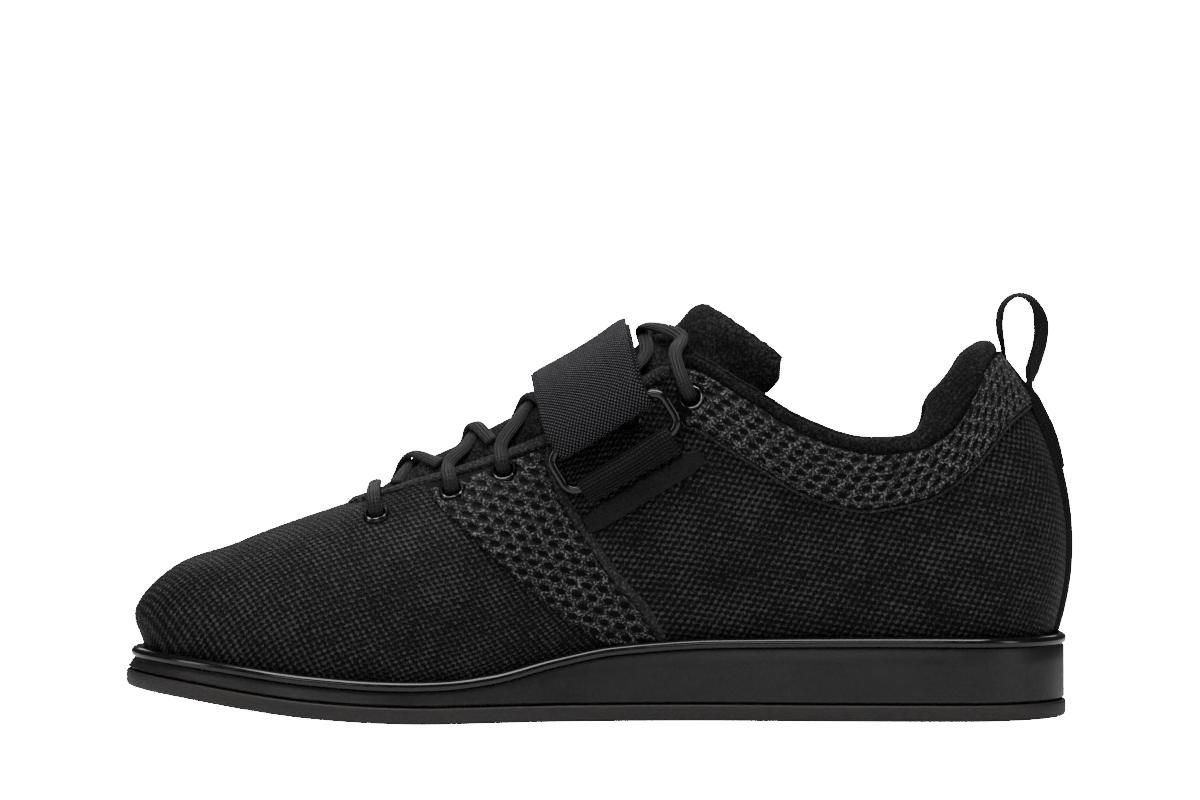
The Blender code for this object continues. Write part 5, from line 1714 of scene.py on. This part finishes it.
reach = (RING_WIDTH - RING_WIRE) / 2
keeper_bar = middle - short_way * reach
keeper_fold = round_bar(
    keeper_bar, long_way, short_way, out, KEEPER_WIDTH, RING_WIRE / 2 + GAP + WEBBING_THICK / 2, 1
)
low = middle - short_way * (reach + RING_WIRE + KEEPER_LEG)
under_off = OVERLAY_STEP + CLEAR + WEBBING_THICK / 2
end_along, end_up = (HEEL_X - low[0]) / SOLE_LENGTH, low[2] / INSTEP_HEIGHT
under = skin_row(MEDIAL, end_along, end_up, RING_TILT, KEEPER_WIDTH, under_off)
over = skin_row(MEDIAL, end_along, end_up, RING_TILT, KEEPER_WIDTH, under_off + WEBBING_THICK + GAP)
keeper = webbing("ribbed_keeper", [under, *keeper_fold, over], WEBBING_THICK, keeper_weave)
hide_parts("ring_keeper")

pressed, tree, shader = paint("pressed strip", (0.0036, 0.0034, 0.0036), 0.5, Specular_IOR_Level=0.3)
emboss(tree, shader, noise(tree, coordinates(tree), 0.0014, 4.0), 0.0005)
PATCH_WIDE = 0.0065
rows = []
for share in np.linspace(-1, 1, 50):
    row = []
    narrow = 1 - 0.35 * abs(share) ** 8
    for part in np.linspace(1, -1, 9):
        down = PATCH_WIDE / 2 + WEBBING_THICK - part * narrow * PATCH_WIDE / 2
        place = low - short_way * down + long_way * share * KEEPER_WIDTH * 0.64
        seat_place, seat_out = on_skin(MEDIAL, (HEEL_X - place[0]) / SOLE_LENGTH, place[2] / INSTEP_HEIGHT)
        row.append(seat_place + seat_out * (OVERLAY_STEP * 0.4 + WEBBING_THICK / 2))
    rows.append(row)
patch_piece = webbing("pressed_strip", rows, WEBBING_THICK * 0.6, pressed)
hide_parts("keeper_patch")


# Collar lining: soft black knit over foam, rolled over the collar's edge and thick at the heel pads. Its
# padding is swelled by a short cloth simulation too.

# The roll, from one front corner round the heel to the other. around is a share of the way from heel to
# toe, thick is of COLLAR_PAD and deep of LINING_DEPTH.
LINING_PAD = table(
    "around thick deep",
    (0.00, 0.95, 1.00),
    (0.10, 1.15, 1.00),
    (0.16, 1.45, 0.95),
    (0.22, 1.15, 0.85),
    (0.30, 1.00, 0.80),
    (0.37, 0.85, 0.65),
    (0.42, 0.50, 0.45),
    (0.46, 0.25, 0.30),
)
LINING_DEPTH = 0.036
LINING_ENDS = 0.445
LINING_SEAT = 0.0005
# Section of the roll. into is a share of the pad's thickness inside the wall, or below 0 a share of the wall
# that the roll covers. down is a share of its depth, and above of COLLAR_ROLL.
LINING_SECTION = table(
    "into down above",
    (0.00, 0.95, 0.00),
    (0.00, 0.50, 0.00),
    (0.00, 0.00, 0.25),
    (-0.10, 0.00, 0.25),
    (-0.15, 0.00, 0.65),
    (0.10, 0.00, 1.00),
    (0.55, 0.00, 0.90),
    (0.90, 0.00, 0.20),
    (1.00, 0.15, 0.00),
    (0.95, 0.45, 0.00),
    (0.50, 0.80, 0.00),
    (0.18, 1.00, 0.00),
)
COLLAR_PAD = 0.0075
COLLAR_ROLL = 0.0034

LINING_POINTS = 40
LINING_SPARE = 0.0004
around_all, sides_all = turns()
order = [i for i in range(AROUND) if around_all[i] <= LINING_ENDS]
order.sort(key=lambda i: -around_all[i] if sides_all[i] < 0 else around_all[i])
lining_rows = []
for i in order:
    deep = LINING_DEPTH * smooth(LINING_PAD, "deep", around_all[i], "around")
    thick = COLLAR_PAD * smooth(LINING_PAD, "thick", around_all[i], "around")
    places, outs = skin_at(i, LINING_SECTION["down"] * deep)
    up = unit(WALLS[i][-1] - WALLS[i][-11])
    share = LINING_SECTION["into"]
    if i in (order[0], order[-1]):
        share = share.clip(0)
    into = np.where(
        share < 0, -share * WALL, WALL + LINING_SEAT + LINING_SPARE / 2 + share * (thick - LINING_SPARE)
    )
    section = places - outs * into[:, None] + up * (LINING_SECTION["above"] * COLLAR_ROLL)[:, None]
    moved_on = np.linalg.norm(np.diff(section, axis=0), axis=1) > 1e-6
    section = section[np.append(True, moved_on)]
    lining_rows.append(through(np.vstack([section, section[:1]]), LINING_POINTS + 1)[:-1])
lining_mesh = swelled(woven("collar_pad", lining_rows, capped=True), 0.0014, 3.0, LINING_SPARE)
lining_knit = soft_knit("lining knit", (0.0035, 0.0032, 0.0034), (0.046, 0.043, 0.046), 0.0009, 0.0005, 1.1)
lining = place_piece("collar_pad", lining_mesh, lining_knit, 180)
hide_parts("collar_lining")

TURN_STEPS = 12
TURN_PUFF = 0.0014
TURN_TUCK = 0.004
edge_line = SKIN[:, -1]
edge_way = unit(np.roll(edge_line, -1, axis=0) - np.roll(edge_line, 1, axis=0))
edge_up = unit(np.cross(edge_way, SKIN_OUT[:, -1]))
edge_up *= np.sign(edge_up[:, 2:])
turned_rows = []
for i in order:
    deep = roll_deep([i])[0]
    rise = roll_deep([i], "rise")[0]
    share = np.linspace(0, 1, TURN_STEPS)
    places, outs = skin_at(i, deep * (1 - share))
    puff = min(TURN_PUFF, deep * 0.3)
    stand = OVERLAY_STEP * 0.9 + puff * np.sin(math.pi / 2 * share) ** 0.6
    inward = WALL + COLLAR_PAD * smooth(LINING_PAD, "thick", around_all[i], "around") * 0.5
    middle_off = (stand[-1] - inward) / 2
    half_off = (stand[-1] + inward) / 2
    bow = np.linspace(0, math.pi, TURN_STEPS + 2)[1:, None]
    crown = places[-1] + edge_up[i] * rise * np.sin(bow) ** 0.8 + outs[-1] * (
        middle_off + half_off * np.cos(bow)
    )
    low = crown[-1] - edge_up[i] * TURN_TUCK
    turned_rows.append(np.vstack([places + outs * stand[:, None], crown, [low]]))
roll = place_piece("collar_turn", woven("collar_turn", turned_rows, capped=True), lining_knit, 180)


# Pull loop: soft herringbone tape folded into a loop above the heel, its rear limb a little twisted. Both
# ends run on down the back seam as one narrow sewn strip.
LOOP_HEIGHT = 0.0165
LOOP_WIDTH = 0.0165
LOOP_WEBBING = 0.010
LOOP_JOINT = 0.017

# The loop's middle line. back is a share of LOOP_WIDTH behind the heel's top edge and up a share of
# LOOP_HEIGHT above it.
LOOP_BEND = table(
    "back up",
    (0.200, 0.060),
    (0.155, 0.300),
    (0.155, 0.541),
    (0.205, 0.731),
    (0.309, 0.872),
    (0.461, 0.950),
    (0.630, 0.931),
    (0.790, 0.805),
    (0.885, 0.611),
    (0.925, 0.398),
    (0.920, 0.186),
    (0.875, -0.052),
    (0.810, -0.263),
    (0.750, -0.478),
    (0.730, -0.640),
)
# The strip stands off the back seam like this, its stitched fold thickest below the loop.
FOLDED = table(
    "depth off",
    (0.004, 0.0000),
    (0.010, 0.0004),
    (0.017, 0.0011),
    (0.026, 0.0021),
    (0.034, 0.0021),
    (0.044, 0.0012),
    (0.060, 0.0009),
    (0.110, 0.0008),
)
TAPE_THICK = 0.0010
LAID_OFF = (1.05, 1.0, 0.95, 0.9, 0.75, 0.6)
HEEL_RADIUS = 0.029
SEWN_EDGE = 0.0013

heel_long = wall_length(WALLS[0])
heel_depths = np.linspace(heel_long - 0.002, LOOP_JOINT, 40)
rising_depths = np.linspace(LOOP_JOINT - 0.003, 0.006, 6)
tape_depths = np.concatenate([heel_depths, rising_depths])
places, outs = skin_at(0, tape_depths)
tape_raise = OVERLAY_STEP * np.clip((band_deep[0] - tape_depths) / 0.0015 + 0.6, 0, 1)
folded = np.interp(tape_depths, FOLDED["depth"], FOLDED["off"])
heel_tape = places + outs * (tape_raise + folded + TAPE_THICK / 2)[:, None]
heel_top = WALLS[0][-1]
loop_path = [
    heel_top + np.array([back * LOOP_WIDTH, 0, up * LOOP_HEIGHT])
    for back, up in zip(LOOP_BEND["back"], LOOP_BEND["up"])
]
loop_ends = [
    heel_tape[k] + outs[k] * TAPE_THICK * share for k, share in zip((39, 37, 35, 32, 29, 26), LAID_OFF)
]
path = through(np.vstack([heel_tape, loop_path, loop_ends]), 260)
ahead = unit(np.gradient(path, axis=0))
share = np.linspace(0, 1, len(path))
tape_far = np.linalg.norm(np.diff(np.vstack([heel_tape, loop_path, loop_ends]), axis=0), axis=1).cumsum()
TAPE_UP = tape_far[len(heel_tape) - 2] / tape_far[-1]
TAPE_DOWN = tape_far[len(heel_tape) + len(loop_path) - 1] / tape_far[-1] - 0.01
end_folds = folded[[39, 37, 35, 32, 29, 26]]
bent_in = np.interp(
    share, np.append(0, tape_far) / tape_far[-1], np.concatenate([folded, 0 * LOOP_BEND["up"], end_folds])
)
twist = math.radians(9) * np.clip((share - TAPE_UP) / 0.05, 0, 1) * np.clip(
    (TAPE_UP + 0.14 - share) / 0.06, 0, 1
)
twist += math.radians(30) * np.clip((share - TAPE_UP - 0.13) / 0.07, 0, 1) * np.clip(
    (TAPE_DOWN + 0.02 - share) / 0.04, 0, 1
)
side_way = np.array([0, 1.0, 0])
level_way = unit(np.cross(ahead, side_way))
width_way = side_way * np.cos(twist)[:, None] + level_way * np.sin(twist)[:, None]
narrow = np.interp(share, [0, TAPE_UP, TAPE_UP + 0.1, TAPE_DOWN, 1], [0.75, 0.85, 1, 0.9, 0.7])
across = np.linspace(-1, 1, 11)[:, None]
half_width = narrow * LOOP_WEBBING / 2
tape_rows = [place + way * (across * half) for place, way, half in zip(path, width_way, half_width)]
heel_bend = across**2 * (LOOP_WEBBING / 2) ** 2 / (2 * HEEL_RADIUS)
heel_bow = across**2
sewn_in = bent_in + SEWN_EDGE * np.clip(bent_in / 0.0007, 0, 1)
for k, row in enumerate(tape_rows):
    laid = 1 if share[k] < TAPE_UP or share[k] > TAPE_DOWN else 0
    row -= np.array([1.0, 0, 0]) * (heel_bend * narrow[k] ** 2 + heel_bow * sewn_in[k]) * laid
# The tape's light colour is a painted highlight on its thread crests, its dark one painted shade in the gaps.
tape_weave = woven_paint(
    "loop tape", 0.0012, 0.0010, (0.004, 0.0036, 0.004), (0.026, 0.024, 0.026), 0.7, 0.0003, -0.4
)
loop = webbing("heel_loop", tape_rows, TAPE_THICK, tape_weave)
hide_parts("pull_loop")


# Stitches: short black bonded threads in even rows. They hold the strap's anchor on the outer flank, the
# throat's folded edge and the collar panel's lower seam, and show as small glints.
STITCH_LONG = 0.0021
STITCH_PITCH = 0.0029
STITCH_THICK = 0.00050

stitch_grid = []
for far in np.linspace(-1, 1, 5):
    girth = math.sqrt(max(1 - far**4, 0.02)) * STITCH_THICK / 2
    arched = STITCH_THICK * 0.7 * (1 - far**2)
    ring_points = []
    for angle in np.arange(6) * math.pi / 3:
        ring_points.append(
            (far * STITCH_LONG / 2, girth * math.cos(angle), girth * math.sin(angle) + arched)
        )
    stitch_grid.append(ring_points)
stitch_shape = bpy.data.objects.new("stitch", woven("stitch", stitch_grid, capped=True))
thread, tree, shader = paint("thread", (0.016, 0.015, 0.016), 0.42, Specular_IOR_Level=0.45)
dulled(tree, shader, noise(tree, coordinates(tree), 0.002), 0.3, 0.7, 0.35, 0.55)


def stitched(name, path, outs):
    """Stitches at an even pitch along a path, laid by geometry nodes and then made plain."""
    path = np.asarray(path, float)
    far = metres_along(path)
    at = np.arange(STITCH_PITCH / 2, far[-1], STITCH_PITCH)
    places = np.stack([np.interp(at, far, path[:, k]) for k in range(3)], axis=-1)
    out = unit(np.stack([np.interp(at, far, np.asarray(outs)[:, k]) for k in range(3)], axis=-1))
    ways = np.gradient(path, far, axis=0)
    way = unit(np.stack([np.interp(at, far, ways[:, k]) for k in range(3)], axis=-1))
    mesh = bpy.data.meshes.new(name)
    mesh.from_pydata([tuple(place) for place in places], [], [])
    for word, values in (("out", out), ("way", way)):
        layer = mesh.attributes.new(word, "FLOAT_VECTOR", "POINT")
        layer.data.foreach_set("vector", values.astype(np.float32).ravel())
    holder = bpy.data.objects.new(name, mesh)
    bpy.context.scene.collection.objects.link(holder)
    group = bpy.data.node_groups.new(name, "GeometryNodeTree")
    group.interface.new_socket("Geometry", in_out="INPUT", socket_type="NodeSocketGeometry")
    size = group.interface.new_socket("Stitch Size", in_out="INPUT", socket_type="NodeSocketFloat")
    group.interface.new_socket("Geometry", in_out="OUTPUT", socket_type="NodeSocketGeometry")
    given = group.nodes.new("NodeGroupInput")
    result = group.nodes.new("NodeGroupOutput")
    points = group.nodes.new("GeometryNodeMeshToPoints")
    shape = group.nodes.new("GeometryNodeObjectInfo")
    shape.inputs["Object"].default_value = stitch_shape
    turn = group.nodes.new("FunctionNodeAxesToRotation")
    turn.primary_axis = "Z"
    turn.secondary_axis = "X"
    for word, socket in (("out", turn.inputs[0]), ("way", turn.inputs[1])):
        named = group.nodes.new("GeometryNodeInputNamedAttribute")
        named.data_type = "FLOAT_VECTOR"
        named.inputs["Name"].default_value = word
        group.links.new(named.outputs["Attribute"], socket)
    copies = group.nodes.new("GeometryNodeInstanceOnPoints")
    real = group.nodes.new("GeometryNodeRealizeInstances")
    painted = group.nodes.new("GeometryNodeSetMaterial")
    painted.inputs["Material"].default_value = thread
    group.links.new(given.outputs["Geometry"], points.inputs["Mesh"])
    group.links.new(points.outputs["Points"], copies.inputs["Points"])
    group.links.new(shape.outputs["Geometry"], copies.inputs["Instance"])
    group.links.new(turn.outputs[0], copies.inputs["Rotation"])
    group.links.new(given.outputs["Stitch Size"], copies.inputs["Scale"])
    group.links.new(copies.outputs["Instances"], real.inputs["Geometry"])
    group.links.new(real.outputs["Geometry"], painted.inputs["Geometry"])
    group.links.new(painted.outputs["Geometry"], result.inputs["Geometry"])
    sown = holder.modifiers.new("stitches", "NODES")
    sown.node_group = group
    sown[size.identifier] = 1.0
    plain_mesh = bpy.data.meshes.new_from_object(holder.evaluated_get(bpy.context.evaluated_depsgraph_get()))
    bpy.data.objects.remove(holder)
    piece = place_piece(name, plain_mesh, thread, 60)


for side, word in ((MEDIAL, "inner"), (LATERAL, "outer")):
    edge = [i for i in range(AROUND) if sides_all[i] == side and 0.46 < around_all[i] < 0.94]
    edge.sort(key=lambda i: around_all[i])
    path, outs = zip(*(skin_at(i, np.array([0.0044])) for i in edge))
    path, outs = np.array(path)[:, 0], np.array(outs)[:, 0]
    stitched(f"throat_stitches_{word}", path + outs * (OVERLAY_STEP * 0.8 + 0.0002), outs)
below = []
for i in order:
    place, out = skin_at(i, np.array([band_deep[i] - 0.0018]))
    below.append((place[0] + out[0] * (OVERLAY_STEP + NET_RISE + 0.0001), out[0]))
stitched("collar_stitches", [place for place, _ in below], [out for _, out in below])
anchor = outer[-2:]
anchor_out = unit(np.cross(anchor[0, -1] - anchor[0, 0], anchor[1, 0] - anchor[0, 0]))
anchor_out *= np.sign(anchor_out[1])
corners = []
for row, share in ((0, 0.12), (0, 0.88), (1, 0.88), (1, 0.12), (0, 0.12), (1, 0.88)):
    line = anchor[row]
    spot = line[0] + (line[-1] - line[0]) * share
    corners.append(spot + (anchor[1 - row].mean(0) - anchor[row].mean(0)) * 0.12)
box_path = np.vstack([np.linspace(a, b, 20, endpoint=False) for a, b in zip(corners, corners[1:])])
stand = apart + STRAP_THICK / 2
stitched("anchor_stitches", box_path + anchor_out * stand, np.tile(anchor_out, (len(box_path), 1)))
